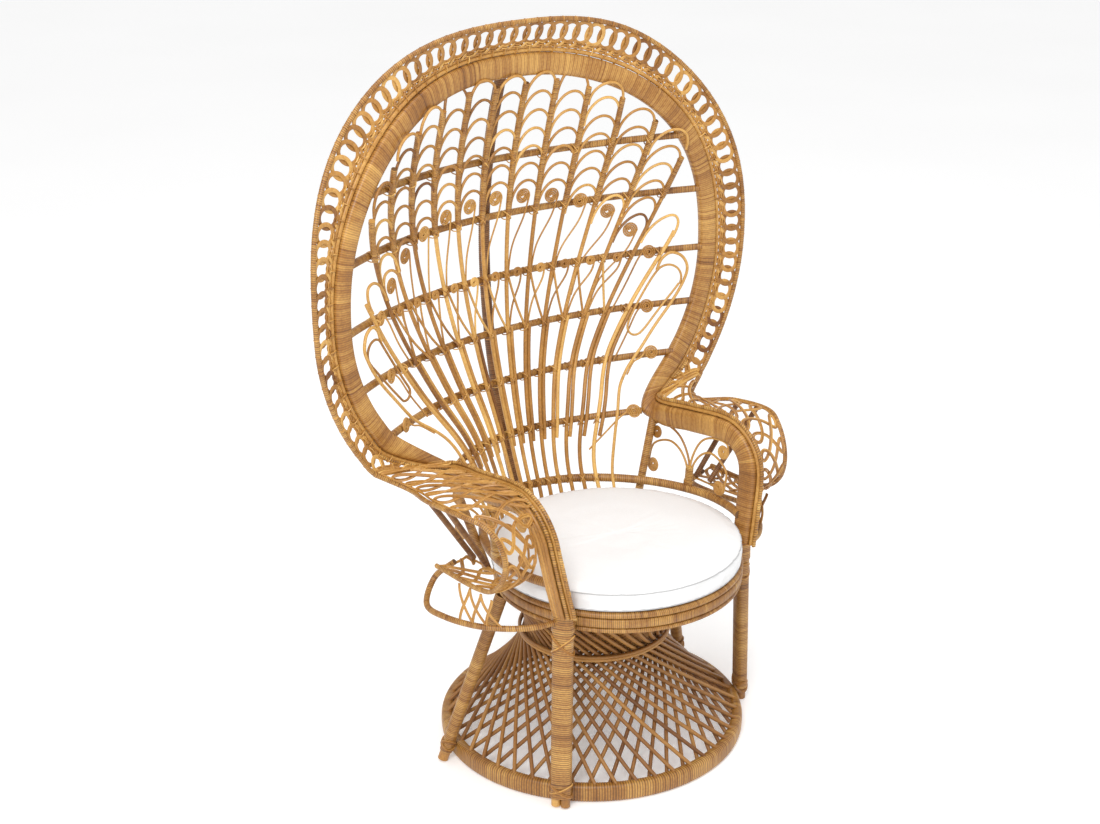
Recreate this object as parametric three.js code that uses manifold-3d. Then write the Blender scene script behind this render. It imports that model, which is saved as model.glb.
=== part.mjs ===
// A wicker peacock chair: a wrapped hoop back with a fan of canes, lace border and rolled arms,
// a waisted pedestal of crossing rods, and a loose round cushion.
// Millimetres, +Z up, the chair faces -Y and is the same on both sides of X = 0.
import * as THREE from "three";
import { mergeVertices } from "three/addons/utils/BufferGeometryUtils.js";
import Module from "manifold-3d";

const wasm = await Module();
wasm.setup();

// Driving dimensions
const clearance = 0.3;

const baseHoopRadius = 315;
const baseHoopHeight = 37;
const baseHoopThickness = 24;
const baseHoopChamfer = 4;

const pedestalRodCount = 36;
const pedestalRodRadius = 4;
const pedestalFamilyGap = 15;
const waistRadius = 137;
const waistFamilyGap = 10.5;
const waistHeight = 230;
const waistForward = 7;
const waistRingRadius = 6;
const lowerTwist = THREE.MathUtils.degToRad(59);
const upperTwist = THREE.MathUtils.degToRad(46);

const seatForward = 78;
const seatRingOuterRadius = 250;
const seatRingTubeRadius = 9;
const seatTopHeight = 409.3;
const seatRingCount = 3;
const pedestalTopRingRadius = 3.5;
const bearerRadius = 11;
const bearerSpread = 90;
const deckThickness = 12;

const cushionRadius = 250;
const cushionSideHeight = 36;
const cushionCrown = 12;
const cushionSideBulge = 5;
const cushionForward = 73;
const coverThickness = 1.5;
const cushionLip = 5;

const frontLegWidth = 42;
const frontLegThickness = 28;
const frontLegFootAngle = THREE.MathUtils.degToRad(-32);
const frontLegFootSkew = THREE.MathUtils.degToRad(6.2);
const frontLegTopAngle = THREE.MathUtils.degToRad(-25);
const frontLegTop = 412;
const rearLegRadius = 13.5;
const rearLegFootAngle = THREE.MathUtils.degToRad(13);
const rearLegTopAngle = THREE.MathUtils.degToRad(22.5);

const hoopCentreHeight = 924;
const hoopHalfWidth = 448;
const hoopHalfHeight = 390;
const hoopSideDepth = 160;
const hoopTopDepth = 245;
const hoopRoundness = 0.86;
const hoopLeanPower = 4.25;
const hoopEndAngle = THREE.MathUtils.degToRad(126);
const hoopSteps = 20;
const bandSideWidth = 39;
const bandTopWidth = 45;
const bandThickness = 25;
const bandSideTilt = THREE.MathUtils.degToRad(9.7);
const bandTopTilt = THREE.MathUtils.degToRad(1);
const borderTilt = THREE.MathUtils.degToRad(28);
const borderShoulderTilt = THREE.MathUtils.degToRad(-3);

const neckHalfWidth = 250;
const neckDepth = 122;
const neckHeight = 597;
const neckLean = THREE.MathUtils.degToRad(25.5);
const armStartDepth = 88;
const armStartHeight = 596;
const armTopHalfWidth = 272;
const armFrontDepth = -170;
const armCornerHeight = 621;
const armCornerRadius = 80;
const armBandWidth = 45;
const armSteps = 6;

const trimRadius = 4.5;
const laceTopWidth = 57.5;
const laceEndWidth = 37.5;
const laceThickness = 6;
const laceCount = 64;
const rimRadius = 6.5;

const rollCentreDepth = -104;
const rollCentreHeight = 545;
const rollRadius = 78;
const rollTopHalfWidth = 402;
const rollFrontHalfWidth = 368;
const rollInnerHalfWidth = 294;
const rollNeckHalfWidth = 375;
const rollNeckDepth = 98;
const rollNeckHeight = 603;
const rollTailDepth = 28;
const rollLaceRows = 2;
const rollLaceCrown = 7;
const armLoopRadius = 6;
const armLoopHeight = 392;
const armLoopReach = 158;
const strutRadius = 6;
const strutHeadDepths = [-14, -68];
const strutFootDepths = [4, -36];

const railRadius = 8;
const railHeights = [1146, 1026, 897, 782, 679, 570];
const railRise = 15;
const dishDepth = 312;
const dishDeepestHeight = 945;
const seatRailAboveCushion = 14.4;
const seatRailDepth = 222;
const seatRailRoom = 4;
const seatRailRoundness = 1.79;
const seatRailRadius = 8;
const seatRailSteps = 18;
const seatRailFrontSteps = 3;
const rearPostRadius = 9;
const rearPostTopDepth = 104;
const rearPostBottomHeight = 380;
const rearPostAngle = THREE.MathUtils.degToRad(40);

const poleRadius = 12;
const spokeRadius = 5.5;
const spokesPerSide = 8;
const spokeFootPitch = 23;
const spokeTopPitch = 74;
const spokeFanHeight = 760;
const spokeFanPower = 1.7;
const spokeFootHeight = 418;
const canesBehindCushion = 7;
const archRadius = 3;
const archPitch = 42;
const archRise = 0.55;
const archFirstHeight = 1050;
const archOutwardDrop = 45;

const curlRadius = 3;
const curlStemDepth = -30;
const curlLean = 0.1;
const curlTallRadiusShare = 0.29;
const curlShortRadiusShare = 0.2;
const curlEyeRadius = 11;
const curlTallHeightShare = 0.44;
const curlShortHeightShare = 0.2;
const curlTallShift = 2;
const curlShortShift = 5;
const curlArcSegments = 5;
const curlEyeTurn = Math.PI / 3.5;
const curlEyeTightening = 0.05;

// Numbers of flats round a section and of segments along a curve
const baseSegments = 40;
const ringSegments = 30;
const deckSegments = 36;
const ringSides = 6;
const roundSides = 8;
const rimSides = 5;
const caneSides = 4;
const railSegments = 16;
const poleSegments = 10;
const rollSegments = 6;

// Derived sizes
const seatRingRadius = seatRingOuterRadius - seatRingTubeRadius;
// A ring's six-sided section stands on a flat, so it is lower than it is wide.
const seatRingHalfHeight = seatRingTubeRadius * Math.sin(Math.PI / 3);
const seatRingPitch = 2 * seatRingHalfHeight + clearance;
const seatRingInner = seatRingRadius - seatRingTubeRadius;
const upperRingHeight = seatTopHeight - seatRingHalfHeight;
const seatBottomHeight = seatTopHeight - seatRingHalfHeight * 2 - (seatRingCount - 1) * seatRingPitch;
const deckUnderside = seatTopHeight - deckThickness;
// The deck lies on the upper flats of the bearers, and their lower flats lie on the pedestal.
const bearerFlat = bearerRadius * Math.cos(Math.PI / roundSides);
const bearerHeight = deckUnderside - clearance - bearerFlat;
const pedestalTopHeight = bearerHeight - bearerFlat - clearance - pedestalTopRingRadius;
const cushionBottom = seatTopHeight + clearance;
// The seat rail runs round the cushion, above its side and clear of it, so that the cushion lifts out.
const seatRailHeight = cushionBottom + cushionSideHeight + seatRailAboveCushion;
const seatRailHalfWidth = cushionRadius + seatRailRadius + seatRailRoom;
const seatRailMiddleDepth = -cushionForward;
const seatRailReach = seatRailDepth - seatRailMiddleDepth;

// Colours of cane in light, wrapped and shaded places, and of the cotton cover
const wrappedCane = { color: 0xb98142, roughness: 0.55, metalness: 0 };
const bareCane = { color: 0xcf9a55, roughness: 0.5, metalness: 0 };
const darkCane = { color: 0x8a5a2b, roughness: 0.65, metalness: 0 };
const cotton = { color: 0xf3f2ee, roughness: 0.9, metalness: 0 };
const foam = { color: 0xe9e2c8, roughness: 1, metalness: 0 };

const chair = new THREE.Group();
const point = (x, y, z) => new THREE.Vector3(x, y, z);
const mirrored = (p) => point(-p.x, p.y, p.z);
const mix = (a, b, t) => a + (b - a) * t;
const sides = [
  ["left", 1],
  ["right", -1],
];

// Six times the signed volume of a closed surface is positive where its faces point out.
function turnedOut(geometry) {
  const bare = new THREE.BufferGeometry();
  bare.setAttribute("position", geometry.getAttribute("position"));
  bare.setIndex(geometry.index);
  const merged = mergeVertices(bare, 1e-3);
  const at = merged.getAttribute("position");
  const index = merged.index.array;
  const corner = [point(0, 0, 0), point(0, 0, 0), point(0, 0, 0)];
  let volume = 0;
  for (let i = 0; i < index.length; i += 3) {
    corner.forEach((c, j) => c.fromBufferAttribute(at, index[i + j]));
    volume += corner[0].dot(corner[1].clone().cross(corner[2]));
  }
  if (volume < 0) {
    for (let i = 0; i < index.length; i += 3) {
      [index[i + 1], index[i + 2]] = [index[i + 2], index[i + 1]];
    }
  }
  return merged;
}

function add(name, geometry, look) {
  const mesh = new THREE.Mesh(geometry, new THREE.MeshStandardMaterial(look));
  mesh.name = name;
  chair.add(mesh);
}

// Joining and cutting of closed surfaces
function solidOf(geometry) {
  const mesh = turnedOut(geometry);
  return new wasm.Manifold(
    new wasm.Mesh({
      numProp: 3,
      vertProperties: mesh.getAttribute("position").array,
      triVerts: new Uint32Array(mesh.index.array),
    }),
  );
}

function surfaceOf(solid) {
  const mesh = solid.getMesh();
  return new THREE.BufferGeometry()
    .setAttribute("position", new THREE.BufferAttribute(new Float32Array(mesh.vertProperties), 3))
    .setIndex(new THREE.BufferAttribute(mesh.triVerts, 1));
}

function joined(geometries) {
  return geometries.map(solidOf).reduce((whole, next) => whole.add(next));
}

// The largest of the pieces that a cut leaves
function mainBody(solid) {
  return solid.decompose().reduce((a, b) => (a.volume() >= b.volume() ? a : b));
}

// A closed skin over a row of rings with equal numbers of points.
function skin(rings) {
  const count = rings[0].length;
  const index = [];
  for (let i = 0; i < rings.length - 1; i++) {
    for (let j = 0; j < count; j++) {
      const next = (j + 1) % count;
      const a = i * count;
      const b = a + count;
      index.push(a + j, a + next, b + next, a + j, b + next, b + j);
    }
  }
  const last = (rings.length - 1) * count;
  for (let j = 1; j < count - 1; j++) {
    index.push(0, j + 1, j, last, last + j, last + j + 1);
  }
  const geometry = new THREE.BufferGeometry().setFromPoints(rings.flat()).setIndex(index);
  return turnedOut(geometry);
}

function tangents(points) {
  return points.map((p, i) => {
    const before = points[Math.max(i - 1, 0)];
    const after = points[Math.min(i + 1, points.length - 1)];
    return after.clone().sub(before).normalize();
  });
}

// A rod of regular section along a row of points; its section is carried along without twist.
function rod(points, radius, count) {
  const along = tangents(points);
  const start = Math.abs(along[0].z) < 0.9 ? point(0, 0, 1) : point(1, 0, 0);
  let across = start.clone().cross(along[0]).normalize();
  const rings = points.map((p, i) => {
    across = across.clone().addScaledVector(along[i], -across.dot(along[i])).normalize();
    const up = along[i].clone().cross(across);
    return Array.from({ length: count }, (_, j) => {
      const angle = (2 * Math.PI * (j + 0.5)) / count;
      return p
        .clone()
        .addScaledVector(across, radius * Math.cos(angle))
        .addScaledVector(up, radius * Math.sin(angle));
    });
  });
  return skin(rings);
}

function smooth(points, steps) {
  return new THREE.CatmullRomCurve3(points, false, "centripetal").getPoints(steps);
}

// A flat bar through stations that each give two edges, the thickness and the facing of the bar.
function bar(stations, thickness, grow = 0) {
  const middle = stations.map((s) => s.inner.clone().lerp(s.outer, 0.5));
  const along = tangents(middle);
  const chamfer = thickness / 4;
  const rings = stations.map((s, i) => {
    const across = s.outer.clone().sub(s.inner);
    const half = across.length() / 2 + grow;
    across.normalize();
    const facing = along[i].clone().cross(across).normalize();
    const deep = thickness / 2 + grow;
    const outline = [
      [-half, -deep + chamfer],
      [-half + chamfer, -deep],
      [half - chamfer, -deep],
      [half, -deep + chamfer],
      [half, deep - chamfer],
      [half - chamfer, deep],
      [-half + chamfer, deep],
      [-half, deep - chamfer],
    ];
    return outline.map(([u, v]) => middle[i].clone().addScaledVector(across, u).addScaledVector(facing, v));
  });
  return skin(rings);
}

function lathe(profile, segments) {
  const outline = profile.map(([r, z]) => new THREE.Vector2(r, z));
  return new THREE.LatheGeometry(outline, segments).rotateX(Math.PI / 2);
}

// Base hoop, standing flat on the floor
const hoopInnerRadius = baseHoopRadius - baseHoopThickness;
add(
  "base_hoop",
  turnedOut(
    lathe(
      [
        [hoopInnerRadius + baseHoopChamfer, 0],
        [baseHoopRadius - baseHoopChamfer, 0],
        [baseHoopRadius, baseHoopChamfer],
        [baseHoopRadius, baseHoopHeight - baseHoopChamfer],
        [baseHoopRadius - baseHoopChamfer, baseHoopHeight],
        [hoopInnerRadius + baseHoopChamfer, baseHoopHeight],
        [hoopInnerRadius, baseHoopHeight - baseHoopChamfer],
        [hoopInnerRadius, baseHoopChamfer],
        [hoopInnerRadius + baseHoopChamfer, 0],
      ],
      baseSegments,
    ),
  ),
  wrappedCane,
);

// Two families of pedestal rods, leaning opposite ways, one inside the other, each on its own top ring
const onCircle = (radius, angle, y, z) => point(radius * Math.cos(angle), y + radius * Math.sin(angle), z);
const outerTopRadius = seatRingInner - 5 * clearance - pedestalRodRadius;
// A level cut through a leaning rod is longer along its lean.
function levelCut(centre, lean) {
  const flat = point(lean.x, lean.y, 0).normalize();
  const side = point(-flat.y, flat.x, 0);
  const wide = pedestalRodRadius * Math.SQRT1_2;
  const long = (wide * lean.length()) / Math.abs(lean.z);
  const turns = [
    [-1, -1],
    [1, -1],
    [1, 1],
    [-1, 1],
  ];
  return turns.map(([u, v]) => {
    return centre.clone().addScaledVector(flat, u * long).addScaledVector(side, v * wide);
  });
}
function rodFamily(lean, bottomRadius, middleRadius, topRadius, turn) {
  const points = [];
  const index = [];
  const put = (p) => points.push(p) - 1;
  const quad = (p, q, r, t) => index.push(p, q, r, p, r, t);
  const pitch = (2 * Math.PI) / pedestalRodCount;
  const ringFoot = pedestalTopHeight - pedestalTopRingRadius;
  const ringHead = pedestalTopHeight + pedestalTopRingRadius;
  const ringCut = (angle) => {
    const [near, far] = [topRadius - pedestalRodRadius, topRadius + pedestalRodRadius];
    return [
      put(onCircle(near, angle, -seatForward, ringFoot)),
      put(onCircle(far, angle, -seatForward, ringFoot)),
      put(onCircle(far, angle, -seatForward, ringHead)),
      put(onCircle(near, angle, -seatForward, ringHead)),
    ];
  };
  const cuts = [];
  for (let i = 0; i < pedestalRodCount; i++) {
    const half = pedestalRodRadius / topRadius;
    cuts.push(ringCut((i + turn) * pitch - half), ringCut((i + turn) * pitch + half));
  }
  cuts.forEach((cut, i) => {
    const next = cuts[(i + 1) % cuts.length];
    quad(cut[1], next[1], next[2], cut[2]);
    quad(cut[2], next[2], next[3], cut[3]);
    quad(cut[3], next[3], next[0], cut[0]);
    if (i % 2) {
      quad(cut[0], next[0], next[1], cut[1]);
      return;
    }
    const top = (i / 2 + turn) * pitch;
    const middle = top - lean * upperTwist;
    const head = onCircle(topRadius, top, -seatForward, ringFoot);
    const waist = onCircle(middleRadius, middle, -waistForward, waistHeight);
    const foot = onCircle(bottomRadius, middle - lean * lowerTwist, 0, baseHoopHeight + clearance);
    const low = levelCut(foot, waist.clone().sub(foot));
    const high = levelCut(waist, head.clone().sub(foot));
    const rodHead = [cut[1], next[1], next[0], cut[0]];
    const firstCorner = lean > 0 ? 0 : 2;
    const placed = (level) => level.map((_, k) => put(level[(k + firstCorner) % 4]));
    const levels = [placed(low), placed(high), rodHead];
    for (let step = 0; step < 2; step++) {
      for (let k = 0; k < 4; k++) {
        const after = (k + 1) % 4;
        quad(levels[step][k], levels[step][after], levels[step + 1][after], levels[step + 1][k]);
      }
    }
    quad(levels[0][3], levels[0][2], levels[0][1], levels[0][0]);
  });
  return turnedOut(new THREE.BufferGeometry().setFromPoints(points).setIndex(index));
}
const rodFootRadius = baseHoopRadius - baseHoopChamfer - pedestalRodRadius;
add(
  "pedestal_rods_outer",
  rodFamily(-1, rodFootRadius, waistRadius + waistFamilyGap / 2, outerTopRadius, 0),
  bareCane,
);
add(
  "pedestal_rods_inner",
  rodFamily(
    1,
    rodFootRadius - pedestalFamilyGap,
    waistRadius - waistFamilyGap / 2,
    outerTopRadius - pedestalFamilyGap,
    0.5,
  ),
  bareCane,
);
const waistRing = new THREE.TorusGeometry(
  waistRadius + waistFamilyGap / 2 + pedestalRodRadius + 3 * clearance + waistRingRadius,
  waistRingRadius,
  ringSides,
  ringSegments,
);
add("waist_ring", waistRing.translate(0, -waistForward, waistHeight), wrappedCane);

// Seat: three stacked wrapped rings, two bearers and the woven deck
["lower", "middle", "upper"].forEach((level, i) => {
  const ring = new THREE.TorusGeometry(seatRingRadius, seatRingTubeRadius, ringSides, ringSegments);
  ring.translate(0, -seatForward, seatBottomHeight + seatRingHalfHeight + i * seatRingPitch);
  add("seat_ring_" + level, ring, wrappedCane);
});
const bearerReach = Math.sqrt((seatRingInner - clearance - 1) ** 2 - (bearerSpread + bearerRadius) ** 2);
[
  ["front", -1],
  ["rear", 1],
].forEach(([place, way]) => {
  const y = -seatForward + way * bearerSpread;
  const ends = [point(-bearerReach, y, bearerHeight), point(bearerReach, y, bearerHeight)];
  add("seat_bearer_" + place, rod(ends, bearerRadius, roundSides), darkCane);
});
const deck = lathe(
  [
    [0, deckUnderside],
    [seatRingInner - clearance - 1, deckUnderside],
    [seatRingInner - clearance - 1, seatTopHeight],
    [0, seatTopHeight],
  ],
  deckSegments,
);
add("seat_deck", turnedOut(deck.translate(0, -seatForward, 0)), darkCane);

// Loose cushion: foam, two panels and a side band drawn in at its seams
const cushionTopSeam = cushionBottom + cushionSideHeight;
const rounded = (share) => 1 - share * share;
function crowned(radius, height, crown, shares) {
  return shares.map((share) => [radius * share, height + crown * rounded(share)]);
}
const crownShares = [0, 0.5, 0.85, 1];
const inward = [...crownShares].reverse();
const panelRadius = cushionRadius - cushionLip;
const inner = coverThickness + clearance;
function cushionPiece(name, profile, look) {
  add(name, turnedOut(lathe(profile, ringSegments).translate(0, -cushionForward, 0)), look);
}
cushionPiece(
  "cushion_bottom_panel",
  [
    [0, cushionBottom],
    [panelRadius, cushionBottom],
    [panelRadius, cushionBottom + coverThickness],
    [0, cushionBottom + coverThickness],
  ],
  cotton,
);
cushionPiece(
  "cushion_top_panel",
  [
    ...crowned(panelRadius, cushionTopSeam - coverThickness, cushionCrown, crownShares),
    ...crowned(panelRadius, cushionTopSeam, cushionCrown, inward),
  ],
  cotton,
);
const bandShares = [-1, 0, 1];
const bandFoot = cushionBottom + inner;
const bandHead = cushionTopSeam - inner;
function sideBand(radius, shares) {
  return shares.map((share) => {
    return [radius + cushionSideBulge * rounded(share), mix(bandFoot, bandHead, (share + 1) / 2)];
  });
}
const bandRadius = cushionRadius - cushionSideBulge;
const bandOutline = [
  ...sideBand(bandRadius, bandShares),
  ...sideBand(bandRadius - coverThickness, [...bandShares].reverse()),
];
cushionPiece("cushion_side_band", [...bandOutline, bandOutline[0]], cotton);
const foamRadius = bandRadius - inner;
cushionPiece(
  "cushion_foam",
  [
    [0, cushionBottom + inner],
    ...sideBand(foamRadius, bandShares),
    ...crowned(foamRadius - cushionLip, cushionTopSeam - inner, cushionCrown, inward).slice(1),
  ],
  foam,
);

// Legs: flat wrapped front legs outside the base hoop and the seat rings, round rear legs under the seat
// Each leg passes close outside the top of the base hoop and runs on to the floor in a straight line.
const legGap = 2 * clearance;
function footBelow(radius, angle, head) {
  const beside = onCircle(baseHoopRadius + legGap + radius, angle, 0, baseHoopHeight);
  const run = beside.clone().sub(head);
  return beside.clone().addScaledVector(run, -beside.z / run.z);
}
const besideRing = onCircle(
  seatRingOuterRadius + clearance + frontLegThickness / 2,
  frontLegTopAngle,
  -seatForward,
  upperRingHeight,
);
const frontFoot = footBelow(frontLegThickness / 2, frontLegFootAngle, besideRing);
const frontHead = frontFoot.clone().lerp(besideRing, frontLegTop / upperRingHeight);
function legRing(centre, outline, angle) {
  const radial = point(Math.cos(angle), Math.sin(angle), 0);
  const along = point(-Math.sin(angle), Math.cos(angle), 0);
  return outline.map(([u, v]) => centre.clone().addScaledVector(radial, u).addScaledVector(along, v));
}
const legOutline = (deep, wide, cut) => [
  [-deep, -wide + cut],
  [-deep + cut, -wide],
  [deep - cut, -wide],
  [deep, -wide + cut],
  [deep, wide - cut],
  [deep - cut, wide],
  [-deep + cut, wide],
  [-deep, wide - cut],
];
const frontOutline = legOutline(frontLegThickness / 2, frontLegWidth / 2, frontLegThickness / 4);
const rearHead = onCircle(seatRingRadius, rearLegTopAngle, -seatForward, seatBottomHeight - clearance);
const rearFoot = footBelow(rearLegRadius, rearLegFootAngle, rearHead);
const rearOutline = Array.from({ length: roundSides }, (_, j) => {
  const angle = (2 * Math.PI * (j + 0.5)) / roundSides;
  return [rearLegRadius * Math.cos(angle), rearLegRadius * Math.sin(angle)];
});
// The chair is bent by hand: the two front feet stand a little turned round the base, the same way.
const footAngle = (way) => frontLegFootAngle + way * frontLegFootSkew;
const footOn = (way) => footBelow(frontLegThickness / 2, footAngle(way), besideRing);
sides.forEach(([side, way]) => {
  const place = (rings) => skin(rings.map((ring) => ring.map((p) => (way > 0 ? p : mirrored(p)))));
  const front = [
    legRing(footOn(way), frontOutline, footAngle(way)),
    legRing(frontHead, frontOutline, frontLegTopAngle),
  ];
  add("front_leg_" + side, place(front), wrappedCane);
  const rear = [
    legRing(rearFoot, rearOutline, rearLegFootAngle),
    legRing(rearHead, rearOutline, rearLegTopAngle),
  ];
  add("rear_leg_" + side, place(rear), wrappedCane);
});

// The wrapped band: an oval hoop that turns at the neck into the arm and runs down to the front leg
const rising = (angle) => Math.max(Math.cos(angle), 0);
const hoopLean = hoopTopDepth - hoopSideDepth;
const hoopDepth = (angle) => hoopSideDepth + hoopLean * rising(angle) ** hoopLeanPower;
const signedPower = (value, power) => Math.sign(value) * Math.abs(value) ** power;
// The upper half is fuller at its shoulders than an ellipse.
const roundness = (angle) => (Math.cos(angle) > 0 ? hoopRoundness : 1);
function hoopInner(angle) {
  return point(
    hoopHalfWidth * signedPower(Math.sin(angle), roundness(angle)),
    hoopDepth(angle),
    hoopCentreHeight + hoopHalfHeight * signedPower(Math.cos(angle), roundness(angle)),
  );
}
function hoopOutward(angle, tilt) {
  const x = signedPower(Math.sin(angle), 2 - roundness(angle)) / hoopHalfWidth;
  const z = signedPower(Math.cos(angle), 2 - roundness(angle)) / hoopHalfHeight;
  return point(x, 0, z).normalize().multiplyScalar(Math.cos(tilt)).add(point(0, -Math.sin(tilt), 0));
}
function hoopStation(angle) {
  const innerEdge = hoopInner(angle);
  const width = mix(bandSideWidth, bandTopWidth, rising(angle) ** 2);
  const bandTilt = mix(bandSideTilt, bandTopTilt, rising(angle) ** 2);
  const shoulder = (1 - Math.cos(4 * Math.min(Math.abs(angle), Math.PI / 2))) / 2;
  const lower = THREE.MathUtils.smoothstep(Math.abs(angle), Math.PI / 4, hoopEndAngle);
  return {
    inner: innerEdge,
    outer: innerEdge.clone().addScaledVector(hoopOutward(angle, bandTilt), width),
    beyond: hoopOutward(angle, mix(borderTilt, borderShoulderTilt, shoulder)),
    lace: mix(laceTopWidth, laceEndWidth, lower),
  };
}

// The arm's side view is a line to a rounded corner and a line down to the leg.
const armFoot = point(frontHead.x, frontHead.y, frontLegTop - frontLegThickness / 4);
function armMiddle() {
  const start = new THREE.Vector2(armStartDepth, armStartHeight);
  const corner = new THREE.Vector2(armFrontDepth, armCornerHeight);
  const foot = new THREE.Vector2(armFoot.y, armFoot.z);
  const back = start.clone().sub(corner).normalize();
  const down = foot.clone().sub(corner).normalize();
  const half = back.angleTo(down) / 2;
  const cut = armCornerRadius / Math.tan(half);
  const centre = corner
    .clone()
    .addScaledVector(back.clone().add(down).normalize(), armCornerRadius / Math.sin(half));
  const from = corner.clone().addScaledVector(back, cut).sub(centre).angle();
  const to = corner.clone().addScaledVector(down, cut).sub(centre).angle();
  const arc = Array.from({ length: armSteps + 1 }, (_, i) => {
    const angle = mix(from, to, i / armSteps);
    return centre
      .clone()
      .add(new THREE.Vector2(Math.cos(angle), Math.sin(angle)).multiplyScalar(armCornerRadius));
  });
  const half1 = start.clone().lerp(arc[0], 0.5);
  const half2 = arc[armSteps].clone().lerp(foot, 0.5);
  return [start, half1, ...arc, half2, foot];
}
const armRun = armMiddle();
const armHalfWidth = (z) => {
  const share = Math.min(Math.max((z - frontLegTop) / (armCornerHeight - frontLegTop), 0), 1);
  return mix(frontHead.x, armTopHalfWidth, Math.sin((share * Math.PI) / 2));
};
const armStations = armRun.map((p, i) => {
  const before = armRun[Math.max(i - 1, 0)];
  const after = armRun[Math.min(i + 1, armRun.length - 1)];
  const run = after.clone().sub(before).normalize();
  const last = i === armRun.length - 1;
  const outward = last ? point(0, -1, 0) : point(0, run.y, -run.x);
  const width = mix(frontLegWidth - 2, armBandWidth, Math.min((p.y - frontLegTop) / 100, 1));
  const middle = point(armHalfWidth(p.y), p.x, p.y);
  return {
    inner: middle.clone().addScaledVector(outward, -width / 2),
    outer: middle.clone().addScaledVector(outward, width / 2),
    beyond: outward,
  };
});
const neckOutward = point(Math.cos(neckLean), 0, Math.sin(neckLean));
const neckInner = point(neckHalfWidth, neckDepth, neckHeight);
const neck = {
  inner: neckInner,
  outer: neckInner.clone().addScaledVector(neckOutward, armBandWidth),
  beyond: neckOutward,
};
const hoopAngles = Array.from({ length: hoopSteps + 1 }, (_, i) => (hoopEndAngle * i) / hoopSteps);
const hoopHalf = hoopAngles.map(hoopStation);

// Stations in between, on smooth lines through the edges
function between(a, b, c, d, steps) {
  const line = (pick) => new THREE.CatmullRomCurve3([a, b, c, d].map(pick), false, "centripetal");
  const innerLine = line((s) => s.inner);
  const outerLine = line((s) => s.outer);
  return Array.from({ length: steps }, (_, i) => {
    const share = (i + 1) / (steps + 1);
    return {
      inner: innerLine.getPoint((1 + share) / 3),
      outer: outerLine.getPoint((1 + share) / 3),
      beyond: b.beyond.clone().lerp(c.beyond, share).normalize(),
    };
  });
}
// Across the band's edge, away from the band
function squareOff(stations) {
  const along = tangents(stations.map((s) => s.outer));
  return stations.map((s, i) => {
    const away = s.outer.clone().sub(s.inner);
    return { ...s, beyond: away.addScaledVector(along[i], -away.dot(along[i])).normalize() };
  });
}
const hoopLast = hoopHalf[hoopSteps];
const towardNeck = between(hoopHalf[hoopSteps - 1], hoopLast, neck, armStations[0], 4);
const pastNeck = between(hoopLast, neck, armStations[0], armStations[1], 2);
const neckRun = squareOff([hoopLast, ...towardNeck, neck, ...pastNeck, armStations[0]]);
const hoopRight = [...hoopHalf, ...neckRun.slice(1, 6)];
const armRight = [neckRun[5], ...neckRun.slice(6, 8), ...armStations];
const flip = (s) => {
  return { ...s, inner: mirrored(s.inner), outer: mirrored(s.outer), beyond: mirrored(s.beyond) };
};
const bothSides = (half) => [...half.slice(1).reverse().map(flip), ...half];
const hoopStations = bothSides(hoopRight);
const hoopBar = bar(hoopStations, bandThickness);
const hoopCutter = solidOf(bar(hoopStations, bandThickness, clearance));
add("back_hoop", hoopBar, wrappedCane);

// The arm begins one clearance past the neck.
function shifted(station, next, gap) {
  const step = next.inner.clone().lerp(next.outer, 0.5);
  step.sub(station.inner.clone().lerp(station.outer, 0.5)).normalize().multiplyScalar(gap);
  return { ...station, inner: station.inner.clone().add(step), outer: station.outer.clone().add(step) };
}
const armBody = [shifted(neck, pastNeck[0], clearance), ...armRight.slice(1)];
const aboveLegs = (solid) => solid.trimByPlane([0, 0, 1], frontLegTop + clearance);
const armSolid = mainBody(aboveLegs(solidOf(bar(armBody, bandThickness)).subtract(hoopCutter)));
const armCutterLeft = solidOf(bar(armRight, bandThickness, clearance));
const armCutterRight = solidOf(bar(armRight.map(flip), bandThickness, clearance));
const clearOfBand = (solid) =>
  mainBody(solid.subtract(hoopCutter).subtract(armCutterLeft).subtract(armCutterRight));
const onSide = (geometry, way) => {
  const turned = geometry.clone().scale(way, 1, 1);
  return turnedOut(turned);
};
sides.forEach(([side, way]) => add("arm_frame_" + side, onSide(surfaceOf(armSolid), way), wrappedCane));

// Trim rod along the outer edge of the band, from one front leg to the other
const besideBand = (s, reach) => s.outer.clone().addScaledVector(s.beyond, reach);
const trimReach = (clearance + trimRadius) / Math.cos(borderTilt - bandTopTilt);
const wholeRun = [...hoopRight, ...armRight.slice(1)];
const trimLine = bothSides(wholeRun).map((s) => besideBand(s, trimReach));
const trimSolid = clearOfBand(aboveLegs(solidOf(rod(trimLine, trimRadius, caneSides))));
add("frame_trim", surfaceOf(trimSolid), bareCane);

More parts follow.
